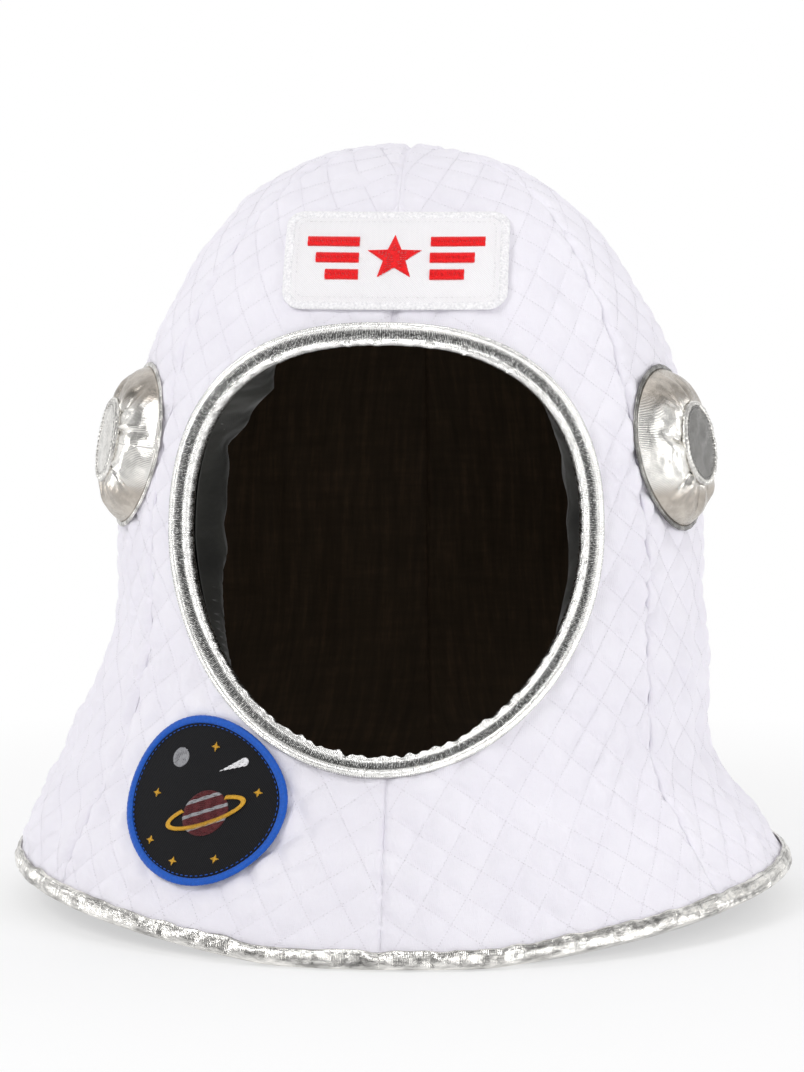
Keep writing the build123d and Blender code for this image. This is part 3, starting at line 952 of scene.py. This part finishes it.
def opening_line(count):
    """The middle of the piping: points, normals, directions away from the opening, lengths and total."""
    turns = even_turns(count)
    across, upwards = np.sin(turns), np.cos(turns)
    squareness = np.where(upwards > 0, opening_top_squareness, opening_bottom_squareness)
    half_height = np.where(upwards > 0, opening_above, opening_below)
    x = np.sign(across) * opening_half_width * np.abs(across) ** (2 / squareness)
    z = opening_widest_height + np.sign(upwards) * half_height * np.abs(upwards) ** (2 / squareness)
    loop = np.stack([np.append(x, x[0]), np.append(z, z[0])], axis=-1)
    lengths = lengths_along(loop)
    even = np.linspace(0.0, lengths[-1], count, endpoint=False)
    x, z = interpolated(even, lengths, loop).T
    point, normal, _ = bare_frame(*on_front(x + opening_aside, z))
    along = unit(np.roll(point, -3, axis=0) - np.roll(point, 3, axis=0))
    return point, normal, unit(np.cross(normal, along)), even, lengths[-1]


def face_piping():
    """Two rolls side by side: a smooth outer one and a gathered inner one, with a groove between that is
    darkened by painted shade.
    """
    count, top_count, under_count = 1600, 30, 10
    half_width, outer_middle, inner_middle, crease_middle = 0.0051, 0.0027, -0.0040, -0.0008
    rib_pitch, join_width = 0.0014, 0.0007
    point, normal, away, even, total = opening_line(count)
    u = np.linspace(half_width, -half_width, top_count)[None, :]
    t = even[:, None]
    loop = np.stack([np.cos(2 * pi * even / total), np.sin(2 * pi * even / total), 0 * even], axis=-1)
    gather, fine, slow = [soft_waves(loop * total / 2 / pi, wavelength, seed)[:, None]
                          for wavelength, seed in ((0.0058, 91), (0.0019, 92), (0.05, 93))]

    def roll(radius, middle):
        return np.sqrt(np.clip(radius**2 - (u - middle) ** 2, 0, None))

    outer = roll(0.0024 + 0.00010 * slow, outer_middle) + 0.0010
    inner = roll(0.0013 + 0.00050 * gather, inner_middle) - 0.0006 + 0.0002 * gather
    band = 0.0012 + (u + 0.0006) * 0.42
    crease_half = 0.0023 + 0.0003 * np.cos(2 * pi * (t / total - 0.875))
    painted_groove_shade = share(1 - np.abs((u - crease_middle) / crease_half) ** 3)
    ribs = 0.00028 * np.sin(2 * pi * t / rib_pitch + 3 * gather + u * 900) + 0.00022 * fine
    top = np.maximum(np.maximum(outer, inner), band + ribs * share(painted_groove_shade * 2))
    top = np.where(u > 0.0046, outer, top)
    top = top - 0.0007 * bell(t - total / 2 - 0.004 - u * 0.8, join_width)
    top_u = u * (1.0 + np.where(u < inner_middle, 0.15 * gather, 0.0))
    turn = np.linspace(0.0, pi, under_count + 2)[None, 1:-1]
    under_u = -half_width * np.cos(turn) * (1 + 0.04 * gather * (np.cos(turn) > 0))
    under = -0.0072 * np.sin(turn) ** 0.8 + 0 * t
    sideways = np.concatenate([top_u, under_u], axis=1)[..., None]
    outwards = np.concatenate([top, under], axis=1)[..., None]
    grid = point[:, None, :] + away[:, None, :] * sideways + normal[:, None, :] * outwards
    columns = top_count + under_count
    uv = cloth_places(t, np.linspace(0, 0.03, columns)[None, :])
    piece = make_piece("silver_piping", grid, ring_faces(count, columns, True), lame_piping,
                       ["face_piping"], uv=uv)

    # Painted shade: dark in the groove, a faint floor that follows the gathers, grey along the outer edge,
    # and middling underneath
    shade = np.maximum(painted_groove_shade, 0.08 + 0.07 * gather)
    shade = np.maximum(shade, 0.55 * share((u - 0.0034) / 0.0012))
    shade = np.concatenate([shade, np.full((count, under_count), 0.25)], axis=1)
    attribute = piece.data.attributes.new("painted_groove_shade", "FLOAT", "POINT")
    attribute.data.foreach_set("value", shade.astype(np.float32).ravel())
    tidied(piece)


face_piping()


# Binding folded round the hem

def hem_binding():
    """A crumpled silver strip, folded under the hem and stitched through both sides."""
    count = 2000
    angles = even_turns(count)
    point, normal, down = bare_frame(angles, hem_length(angles, 0.0))
    layers = cover_thickness + 0.0064
    outer = [(-binding_height, 0.0001), (-binding_height, 0.0007)]
    outer += [(-binding_height * at, 0.0008 + 0.0008 * sin(pi * (1 - at))) for at in
              (0.93, 0.84, 0.74, 0.62, 0.50, 0.38, 0.26, 0.15, 0.06)]
    fold = [(-layers * 0.02 * sin(pi * at) - 0.0004, -layers * at) for at in
            (0.02, 0.15, 0.35, 0.6, 0.85, 1.0)]
    inner = [(-binding_height * at, -layers - 0.0008) for at in (0.15, 0.4, 0.7, 1.0)]
    back = [(-binding_height, -layers - 0.0002), (-0.0024, -layers + 0.0002), (-0.0024, -0.0004)]
    section = np.array(outer + fold + inner + back)
    corner = np.arange(len(section))
    downwards, outwards = section[:, 0][None, :], section[:, 1][None, :]
    crumple, ripple, fine = [soft_waves(point, wavelength, seed)[:, None]
                             for wavelength, seed in ((0.0065, 101), (0.016, 102), (0.0028, 103))]
    shown = (corner < len(outer)) & (corner > 0)
    middle = np.where(shown, share(1 - np.abs(downwards / binding_height + 0.5) * 1.4), 0.0)
    swell = (0.00042 * crumple + 0.0005 * ripple + 0.00016 * fine) * middle
    slant = np.sin(downwards * 900 + ripple * 2 + angles[:, None] * 160) * 0.00010 * middle
    edge = np.where(corner < 4, 1.0, 0.0)[None, :] * 0.0005 * ripple
    grid = (point[:, None, :] + down[:, None, :] * (downwards + edge)[..., None]
            + normal[:, None, :] * (outwards + swell + slant)[..., None])
    grid[..., 2] = np.maximum(grid[..., 2], 0.0)
    around = np.cumsum(np.linalg.norm(np.roll(point, -1, axis=0) - point, axis=1))
    uv = cloth_places(around[:, None], np.linspace(0, 0.03, len(section))[None, :])
    piece = make_piece("silver_hem_binding", grid, ring_faces(count, len(section), True), lame_binding,
                       ["hem_binding"], uv=uv)
    tidied(piece)
    row = point + down * (-binding_height + 0.0016) + normal * 0.00125
    points, along = stitch_line(row, binding_stitch_pitch)
    lay_stitches("binding_topstitch", points, along, unit(points * np.array([1.0, 1.0, 0.0])),
                 binding_stitch, threads["topstitch"], "grey_thread")


hem_binding()


# Ear pods

def ear_pod(side, seed):
    """A sewn-on flange, a puffed and pinched wall, a welted cap and the filling."""
    seat = pod_seats[side]
    centre, normal, level, upwards = seat_frame(seat)
    count = pod_points_around
    around = even_turns(count)[:, None]
    radial = np.cos(around)[..., None] * level + np.sin(around)[..., None] * upwards
    spokes = radial[:, 0, :]

    def on_seat(radius, outset):
        """Points on the shell round the pod's middle, at a radius."""
        place, _ = on_shell(seat, radius * np.cos(around), radius * np.sin(around), outset)
        return place

    def pod_piece(kind, node, grid, material, uv=None, poles=False):
        faces = ring_faces(len(grid), grid.shape[1], not poles, poles)
        return tidied(make_piece(f"pod_{kind}_{side}", grid, faces, material,
                                 [f"ear_pod_{node}_{side}"], uv=uv))

    # Flange
    section = np.array([(0.0, 0.0002), (0.3, 0.0011), (0.8, 0.0012), (1.0, 0.0006), (0.98, 0.0001)])
    flange_foot = pod_foot_radius - 0.0006
    frill = 0.00012 * np.sin(around * 34) + 0.00012 * soft_waves(spokes * 0.04, 0.02, seed)[:, None]
    flange_radius = flange_foot + (pod_flange_radius - flange_foot + frill) * section[:, 0][None, :]
    points = on_seat(flange_radius, np.broadcast_to(section[:, 1], flange_radius.shape))
    pod_piece("flange", "flange", points, lame_flange[side], cloth_places(around * 0.036, flange_radius))

    # Wall
    t = np.linspace(0.0, 1.0, 34)[None, :]
    rim_radius = pod_cap_radius + pod_welt_radius * 1.6
    foot = on_seat(np.full_like(around, pod_foot_radius), np.full(around.shape, 0.0004))
    rim = centre + normal * pod_rise + radial * rim_radius
    skin = foot * (1 - t[..., None]) + rim * t[..., None]
    lean = unit(radial * 0.55 + normal)
    swell = pod_bulge * np.sin(pi * t) ** 0.8
    for index, pinch in enumerate(pinch_angles):
        offset = (np.degrees(around) - pinch - 6 * sin(seed + index) + 180) % 360 - 180
        depth = (pinch_depth + 0.0008 * sin(seed * 2 + index * 1.7)) * np.clip((1.12 - t) / 0.3, 0.35, 1.0)
        width = pinch_width + 2.0 * cos(seed + index * 2.3)
        slanted = offset + 14 * (1 - t) * sin(seed + index * 1.3)
        swell = swell - depth * bell(slanted, width) * share(t * 1.25 - 0.25) ** 0.8
        swell = swell + pinch_ridge * bell(slanted - width * 1.8, width * 1.1) * t
    for height, wavelength, waves_seed in ((0.00022, 0.013, seed + 7), (0.00005, 0.0042, seed + 8)):
        swell = swell + height * soft_waves(skin, wavelength, waves_seed) * np.sin(pi * t) ** 0.5
    skin = skin + lean * swell[..., None]
    grid = np.concatenate([skin, skin[:, ::-1, :] - lean * pod_wall_thickness], axis=1)
    span = np.concatenate([t, t[:, ::-1]], axis=1) * 0.02
    wall = pod_piece("wall", "wall", grid, lame_pod, cloth_places(around * 0.028, span))

    # Cap
    shares = np.concatenate([np.linspace(0, 1, 18), np.linspace(1, 0, 8)])[:, None]
    top = np.arange(len(shares))[:, None] < 18
    flat = centre + spokes * ((pod_cap_radius + 0.0004) * shares)[..., None]
    lift = np.where(top, pod_rise + 0.0018 + 0.0009 * (1 - shares**2), pod_rise - 0.0010)
    lift = lift + 0.00022 * soft_waves(flat, 0.009, seed + 11) * top * share(shares * 4)
    grid = flat + normal * lift[..., None]
    plain = np.stack([(grid - centre) @ level, (grid - centre) @ upwards], axis=-1)
    pod_piece("cap", "cap", grid, lame_cap[side], plain, poles=True)

    # Welt round the cap, with its stitches
    turns = even_turns(12)[None, :]
    ribs = 1 + 0.10 * np.sin(around * 50) + 0.08 * soft_waves(spokes * 0.02, 0.006, seed + 5)[:, None]
    welt_radius = pod_welt_radius * ribs
    ring = pod_cap_radius + pod_welt_radius * 0.9 + np.cos(turns) * welt_radius
    lift = pod_rise + pod_welt_radius * 0.5 + np.sin(turns) * welt_radius
    grid = centre + radial * ring[..., None] + normal * lift[..., None]
    pod_piece("welt", "welt", grid, lame_binding, cloth_places(around * 0.019, turns * 0.0015))
    row = centre + spokes * (pod_cap_radius - 0.0006) + normal * (pod_rise + 0.0022)
    points, along = stitch_line(row, cap_stitch_pitch)
    lay_stitches(f"pod_cap_stitches_{side}", points, along, np.broadcast_to(normal, points.shape),
                 cap_stitch, threads["topstitch"], "grey_thread")

    # Filling
    upper = [(0.0, pod_rise - 0.0024), (rim_radius * 0.5, pod_rise - 0.0024),
             (rim_radius - 0.002, pod_rise - 0.0026), (pod_foot_radius * 0.78, pod_rise * 0.55)]
    rows = [centre + spokes * reach + normal * lift for reach, lift in upper]
    for at in (0.96, 0.66, 0.33, 0.0):
        foot = on_seat(np.full_like(around, (pod_foot_radius - 0.003) * at), np.full(around.shape, 0.0012))
        rows.append(foot[:, 0, :])
    grid = np.stack(rows)
    lumps = 0.0003 * soft_waves(grid, 0.008, seed + 3)
    lumps[0], lumps[-1] = 0.0, 0.0
    filling = pod_piece("filling", "fill", grid + normal * lumps[..., None], stuffing_white, poles=True)


ear_pod("right", 3)
ear_pod("left", 9)


# Patches

def along_outline(points, count):
    """An outline again, in even steps."""
    points = np.array(points + points[:1])
    lengths = lengths_along(points)
    return interpolated(np.linspace(0.0, lengths[-1], count, endpoint=False), lengths, points)


def rounded_rectangle(width, height, corner, count):
    """An outline of even steps, from the right, counter-clockwise."""
    points = []
    for turn, (x, y) in enumerate([(1, 1), (-1, 1), (-1, -1), (1, -1)]):
        for step in range(17):
            angle = pi / 2 * (turn + step / 16)
            points.append((x * (width / 2 - corner) + corner * cos(angle),
                           y * (height / 2 - corner) + corner * sin(angle)))
    return along_outline(points, count)


def round_outline(inset, count):
    """The round patch's outline, pulled a little wide and aslant by the cloth, and moved inwards."""
    turns = even_turns(count)
    x = (round_patch_radius * round_patch_stretch - inset) * np.cos(turns)
    y = (round_patch_radius - inset) * np.sin(turns)
    return np.stack([x - round_patch_lean * y, y], axis=-1)


def patch_ground(name, seat, outline_2d, material, node):
    """The patch's own cloth, a thin sheet that lies on the cover."""
    shares = np.concatenate([np.linspace(0, 1, 26), np.linspace(1, 0, 6)])
    places = shares[:, None, None] * outline_2d[None, :, :]
    top = (np.arange(len(shares)) < 26)[:, None] * np.ones(len(outline_2d))[None, :]
    points, _ = on_shell(seat, places[..., 0], places[..., 1], patch_outset + patch_thickness * top)
    points[..., 1] -= 0.00018 * soft_waves(points, 0.03, 61)
    piece = make_piece(name, points, ring_faces(len(shares), len(outline_2d), False, poles=True), material,
                       [node], uv=places)
    tidied(piece)


def patch_border(name, seat, outline_2d, width, material, node):
    """An overlocked edge: a roll of side by side threads that wrap the patch's edge."""
    count = len(outline_2d)
    along = unit(np.roll(outline_2d, -1, axis=0) - np.roll(outline_2d, 1, axis=0))
    side = np.stack([along[:, 1], -along[:, 0]], axis=-1)
    steps = even_turns(12)
    lap = np.arange(count) % 6 / 6
    rib = 0.00008 * np.abs(np.sin(pi * lap))[:, None] + 0.00004 * np.sin(np.arange(count) * 0.37)[:, None]
    sideways = (width / 2 + rib) * np.cos(steps)[None, :] - width / 2
    lift = patch_outset + 0.0007 + (0.0010 + rib) * np.sin(steps)[None, :]
    slip = 0.0007 * np.cos(steps)[None, :, None]
    places = outline_2d[:, None, :] + side[:, None, :] * sideways[..., None] + along[:, None, :] * slip
    points, _ = on_shell(seat, places[..., 0], places[..., 1], lift)
    tidied(make_piece(name, points, ring_faces(count, len(steps), True), material, [node], uv=places))


def inner_stitches(name, seat, outline_2d, material, slot):
    """A row of stitches just inside the border."""
    points, normals = on_shell(seat, outline_2d[:, 0], outline_2d[:, 1],
                               np.full(len(outline_2d), patch_outset + patch_thickness + 0.0002))
    row, along = stitch_line(points, patch_stitch_pitch)
    outwards = np.broadcast_to(normals.mean(axis=0), row.shape)
    lay_stitches(name, row, along, outwards, patch_stitch, material, slot)


def turned_by(x, y, turn):
    """A place turned about the middle, by degrees."""
    c, s = cos(radians(turn)), sin(radians(turn))
    return x * c - y * s, x * s + y * c


def satin_rows(polygon, turn, longest, seed):
    """The threads that fill an outline, side by side at a turn, none longer than a length."""
    draw = np.random.default_rng(seed)
    turned = [turned_by(x, y, -turn) for x, y in polygon]
    level, high = min(y for x, y in turned) + thread_pitch / 2, max(y for x, y in turned)
    rows = []
    row = 0
    while level < high:
        crossings = sorted(
            x0 + (level - y0) / (y1 - y0) * (x1 - x0)
            for (x0, y0), (x1, y1) in zip(turned, turned[1:] + turned[:1]) if (y0 <= level) != (y1 <= level)
        )
        for start, end in zip(crossings[::2], crossings[1::2]):
            cuts = [start]
            place = start + longest * (0.35 + 0.5 * ((row * 0.618) % 1))
            while place < end - longest * 0.3:
                cuts.append(place)
                place += longest
            for a, b in zip(cuts, cuts[1:] + [end]):
                wobble = draw.uniform(-0.00005, 0.00005, 2)
                rows.append((turned_by(a + wobble[0], level, turn), turned_by(b + wobble[1], level, turn)))
        level += thread_pitch
        row += 1
    return rows


def satin_piece(name, seat, filled, node, lift=0.0):
    """Embroidery, as threads and their rows: each thread is a small flattened tube that arches."""
    outset = patch_outset + patch_thickness + 0.0001 + lift
    points, faces, material_rows = [], [], []
    sides = 5
    turns = even_turns(sides)[None, :] + 0.3
    for material_index, (_, rows) in enumerate(filled):
        for (x0, y0), (x1, y1) in rows:
            reach = sqrt((x1 - x0) ** 2 + (y1 - y0) ** 2)
            if reach < 0.0003:
                continue
            rings = max(4, int(reach / 0.0013) + 2)
            t = np.linspace(0.0, 1.0, rings)[:, None]
            size = share(np.sin(pi * share(t * 0.94 + 0.03))) ** 0.25
            sideways = thread_width / 2 * np.cos(turns) * size
            x = x0 + (x1 - x0) * t - (y1 - y0) / reach * sideways
            y = y0 + (y1 - y0) * t + (x1 - x0) / reach * sideways
            arch = min(reach * 0.07, 0.00032) * np.sin(pi * t) ** 0.6
            spot, _ = on_shell(seat, x, y, outset + arch + thread_width * 0.42 * np.sin(turns) * size)
            start = len(points)
            points.extend(spot.reshape(-1, 3))
            for first in range(start, start + (rings - 1) * sides, sides):
                for side in range(sides):
                    corner, beside = first + side, first + (side + 1) % sides
                    faces.append([corner, beside, beside + sides, corner + sides])
            faces.append([start + side for side in reversed(range(sides))])
            faces.append([start + (rings - 1) * sides + side for side in range(sides)])
            material_rows.extend([material_index] * ((rings - 1) * sides + 2))
    piece = make_piece(name, np.array(points), faces, [threads[title] for title, _ in filled], [node])
    piece.data.polygons.foreach_set("material_index", material_rows)
    tidied(piece)


def disc_outline(centre, radius, count):
    turns = [2 * pi * step / count for step in range(count)]
    return [(centre[0] + radius * cos(turn), centre[1] + radius * sin(turn)) for turn in turns]


def star_outline(centre, radius, waist, count):
    points = []
    for corner in range(count * 2):
        reach = waist if corner % 2 else radius
        angle = pi * corner / count
        points.append((centre[0] + reach * sin(angle), centre[1] + reach * cos(angle)))
    return points


# Forehead patch: white twill, overlocked white edge, and a red star between tapering bars
star_radius = 0.0130
bar_length, bar_height, bar_pitch, bar_step, bar_start = 0.0245, 0.0056, 0.0090, 0.0045, 0.0162
stitches_inset = 0.0125


def forehead_outline(inset, corner, count):
    return rounded_rectangle(forehead_patch_width - inset, forehead_patch_height - inset, corner, count)


forehead_cloth_corner = forehead_patch_corner - forehead_border_width / 2
patch_ground("forehead_cloth", forehead_seat,
             forehead_outline(forehead_border_width, forehead_cloth_corner, 280),
             twill_white, "forehead_patch_ground")
patch_border("forehead_overlock", forehead_seat, forehead_outline(0.0, forehead_patch_corner, 2160),
             forehead_border_width, threads["white"], "forehead_patch_border")
inner_stitches("forehead_stitches", forehead_seat, forehead_outline(stitches_inset, 0.004, 400),
               threads["white"], "white_thread")

red_rows = satin_rows(star_outline((0, 0), star_radius, star_radius * 0.42, 5), 20.0, 0.0065, 5)
for side in (1, -1):
    for row in range(3):
        length = bar_length - row * bar_step
        middle = side * (bar_start + length / 2)
        level = (1 - row) * bar_pitch
        corners = [(middle + x * length / 2, level + y * bar_height / 2)
                   for x, y in ((-1, -1), (1, -1), (1, 1), (-1, 1))]
        red_rows += satin_rows(corners, 90.0, 0.0065, 6 + row)
satin_piece("forehead_embroidery", forehead_seat, [("red", red_rows)], "forehead_patch_motif")

# Round patch: black cloth, blue overlocked edge, and a ringed planet with a moon, stars and a comet
planet_radius, moon_radius, comet_radius, comet_length = 0.0115, 0.0046, 0.0020, 0.013
ring_reach, ring_width, ring_tilt, ring_flatness = 0.020, 0.0024, 24.0, 0.34
ring_count = 210
star_places = [(-0.62, 0.06), (-0.5, -0.52), (0.02, 0.66), (0.66, 0.18), (0.42, -0.66), (-0.1, -0.74)]

patch_ground("round_patch_cloth", round_seat, round_outline(round_border_width / 2, 240), weave_black,
             "round_patch_ground")
patch_border("round_patch_overlock", round_seat, round_outline(0.0, 1680), round_border_width,
             threads["blue"], "round_patch_border")
inner_stitches("round_patch_stitches", round_seat, round_outline(round_border_width + 0.0009, 400),
               threads["blue"], "blue_thread")


def on_patch(x, y):
    """A place on the round patch, from shares of its radius."""
    return x * round_patch_radius, y * round_patch_radius


def tilted(centre, x, y):
    """A place turned by the ring's tilt about a centre."""
    turned = turned_by(x, y, ring_tilt)
    return centre[0] + turned[0], centre[1] + turned[1]


planet_centre = on_patch(0.1, -0.12)
planet_bands = {"maroon": [], "grey": []}
for start, end in satin_rows(disc_outline(planet_centre, planet_radius, 60), ring_tilt, 0.0060, 12):
    middle_x = (start[0] + end[0]) / 2 - planet_centre[0]
    middle_y = (start[1] + end[1]) / 2 - planet_centre[1]
    across_band = turned_by(middle_x, middle_y, -ring_tilt)[1]
    planet_bands["grey" if sin(across_band * 900 + 0.8) > 0.72 else "maroon"].append((start, end))
satin_piece("round_patch_planet_threads", round_seat, list(planet_bands.items()),
            "round_patch_planet")

ring_rows = []
inner_x, inner_y = ring_reach - ring_width, ring_reach * ring_flatness - ring_width
for step in range(ring_count):
    angle = 2 * pi * step / ring_count
    outer_x = ring_reach * cos(angle)
    behind = sin(angle) > 0 and abs(outer_x) < planet_radius
    if not behind:
        ring_rows.append((tilted(planet_centre, inner_x * cos(angle), inner_y * sin(angle)),
                          tilted(planet_centre, outer_x, ring_reach * ring_flatness * sin(angle))))
satin_piece("round_patch_ring_threads", round_seat, [("gold", ring_rows)],
            "round_patch_planet_ring", 0.0004)

moon_rows = satin_rows(disc_outline(on_patch(-0.42, 0.5), moon_radius, 32), -35.0, 0.005, 15)
satin_piece("round_patch_moon_threads", round_seat, [("grey", moon_rows)],
            "round_patch_moon")

star_rows = []
for index, place in enumerate(star_places):
    star_rows += satin_rows(star_outline(on_patch(*place), 0.0023, 0.0010, 4), 45.0, 0.004, 20 + index)
satin_piece("round_patch_star_threads", round_seat, [("gold", star_rows)],
            "round_patch_stars")

comet_centre = on_patch(0.42, 0.52)
comet_turns = [radians(angle) for angle in range(-90, 91, 15)]
comet_outline = [tilted(comet_centre, comet_radius * cos(turn), comet_radius * sin(turn))
                 for turn in comet_turns]
comet_outline.append(tilted(comet_centre, -comet_length, 0.0))
comet_rows = satin_rows(comet_outline, ring_tilt, 0.005, 31)
satin_piece("round_patch_comet_threads", round_seat, [("white", comet_rows)],
            "round_patch_comet")


# Floor, light and camera

def any_ray(tree, *titles):
    """1 where a ray is one of the kinds named."""
    rays = tree.nodes.new("ShaderNodeLightPath").outputs
    seen = rays[titles[-1]]
    for title in titles[-2::-1]:
        seen = maths(tree, "MAXIMUM", rays[title], seen)
    return seen


def mixed(tree, share_of_second, first, second, output):
    """Mixes two shaders into an output node."""
    mix = add_node(tree, "ShaderNodeMixShader", {"Fac": share_of_second, 1: first, 2: second})
    tree.links.new(mix.outputs["Shader"], tree.nodes[output].inputs["Surface"])


def stage_floor():
    """A plain white floor that keeps the helmet's shadow and fades to the white background."""
    mesh = bpy.data.meshes.new("floor")
    half = 6.0
    corners = [(-half, -half, 0), (half, -half, 0), (half, half, 0), (-half, half, 0)]
    mesh.from_pydata(corners, [], [[0, 1, 2, 3]])
    floor = add_object("floor", mesh)
    floor.location.z = -0.0004
    made, tree = new_material("floor_white", (0.92, 0.92, 0.93), 0.9)
    far = add_node(tree, "ShaderNodeVectorMath", {0: coordinate(tree, "Object")}, operation="LENGTH")
    fade = add_node(tree, "ShaderNodeMapRange",
                    {"Value": far.outputs["Value"], "From Min": 0.16, "From Max": 0.62, "To Min": 0.55})
    seen = any_ray(tree, "Is Camera Ray", "Is Glossy Ray", "Is Transmission Ray")
    glow = add_node(tree, "ShaderNodeEmission", {"Color": (1.0, 1.0, 1.0, 1.0), "Strength": 1.0})
    mixed(tree, maths(tree, "MULTIPLY", seen, fade.outputs["Result"]),
          tree.nodes["Principled BSDF"].outputs["BSDF"], glow.outputs["Emission"], "Material Output")
    mesh.materials.append(made)


def stage_world():
    """White behind the helmet, and a plain studio in front of it with darker gaps between the lights."""
    world = bpy.data.worlds.new("studio")
    bpy.context.scene.world = world
    world.use_nodes = True
    tree = world.node_tree
    light = tree.nodes["Background"]
    place = tree.nodes.new("ShaderNodeTexCoord").outputs["Generated"]
    split = add_node(tree, "ShaderNodeSeparateXYZ", {"Vector": place})
    behind = add_node(tree, "ShaderNodeMapRange", {"Value": split.outputs["Y"], "From Min": -0.15,
                                                   "From Max": 0.35, "To Min": 0.24, "To Max": 0.95})
    tree.links.new(behind.outputs["Result"], light.inputs["Strength"])
    light.inputs["Color"].default_value = (1.0, 1.0, 1.0, 1.0)
    white = add_node(tree, "ShaderNodeBackground", {"Color": (1.0, 1.0, 1.0, 1.0), "Strength": 1.0})
    mixed(tree, any_ray(tree, "Is Camera Ray", "Is Transmission Ray"), light.outputs["Background"],
          white.outputs["Background"], "World Output")


def area_light(name, place, target, width, height, power):
    lamp = bpy.data.lights.new(name, "AREA")
    lamp.shape = "RECTANGLE"
    lamp.size = width
    lamp.size_y = height
    lamp.energy = power
    made = add_object(name, lamp)
    made.location = place
    made.rotation_euler = (Vector(target) - Vector(place)).to_track_quat("-Z", "Y").to_euler()


stage_floor()
stage_world()
for light in (
    ("key", (-1.0, -1.6, 1.6), (0, 0, 0.2), 0.9, 1.0, 18.0),
    ("fill", (1.5, -1.3, 0.7), (0, 0, 0.2), 0.9, 1.3, 8.5),
    ("front", (0.35, -2.3, 0.75), (0, 0, 0.2), 1.2, 0.7, 4.5),
    ("top", (0.1, -0.3, 1.9), (0, 0, 0.3), 1.3, 1.0, 4.5),
    ("side_right", (1.9, -0.15, 0.30), (0, 0, 0.22), 0.35, 0.55, 4.0),
    ("side_left", (-1.9, -0.15, 0.30), (0, 0, 0.22), 0.35, 0.55, 4.0),
):
    area_light(*light)

# Where the photo's camera stands, in degrees round and up
azimuth, elevation = radians(4.0), radians(5.0)
camera_distance, camera_pivot_height = 1.9, 0.200
focal_pixels, photo_height_pixels = 3878.0, 1072.0
look_height, look_aside = 0.175, -0.0039

camera_data = bpy.data.cameras.new("camera")
camera_data.sensor_width = 36.0
camera_data.lens = camera_data.sensor_width * focal_pixels / photo_height_pixels
camera = add_object("camera", camera_data)
back = Vector((sin(azimuth) * cos(elevation), -cos(azimuth) * cos(elevation), sin(elevation)))
camera.location = Vector((0.0, 0.0, camera_pivot_height)) + back * camera_distance
aim = Vector((look_aside * cos(azimuth), look_aside * sin(azimuth), look_height))
camera.rotation_euler = (aim - camera.location).to_track_quat("-Z", "Y").to_euler()
bpy.context.scene.camera = camera
bpy.context.scene.view_settings.view_transform = "Standard"
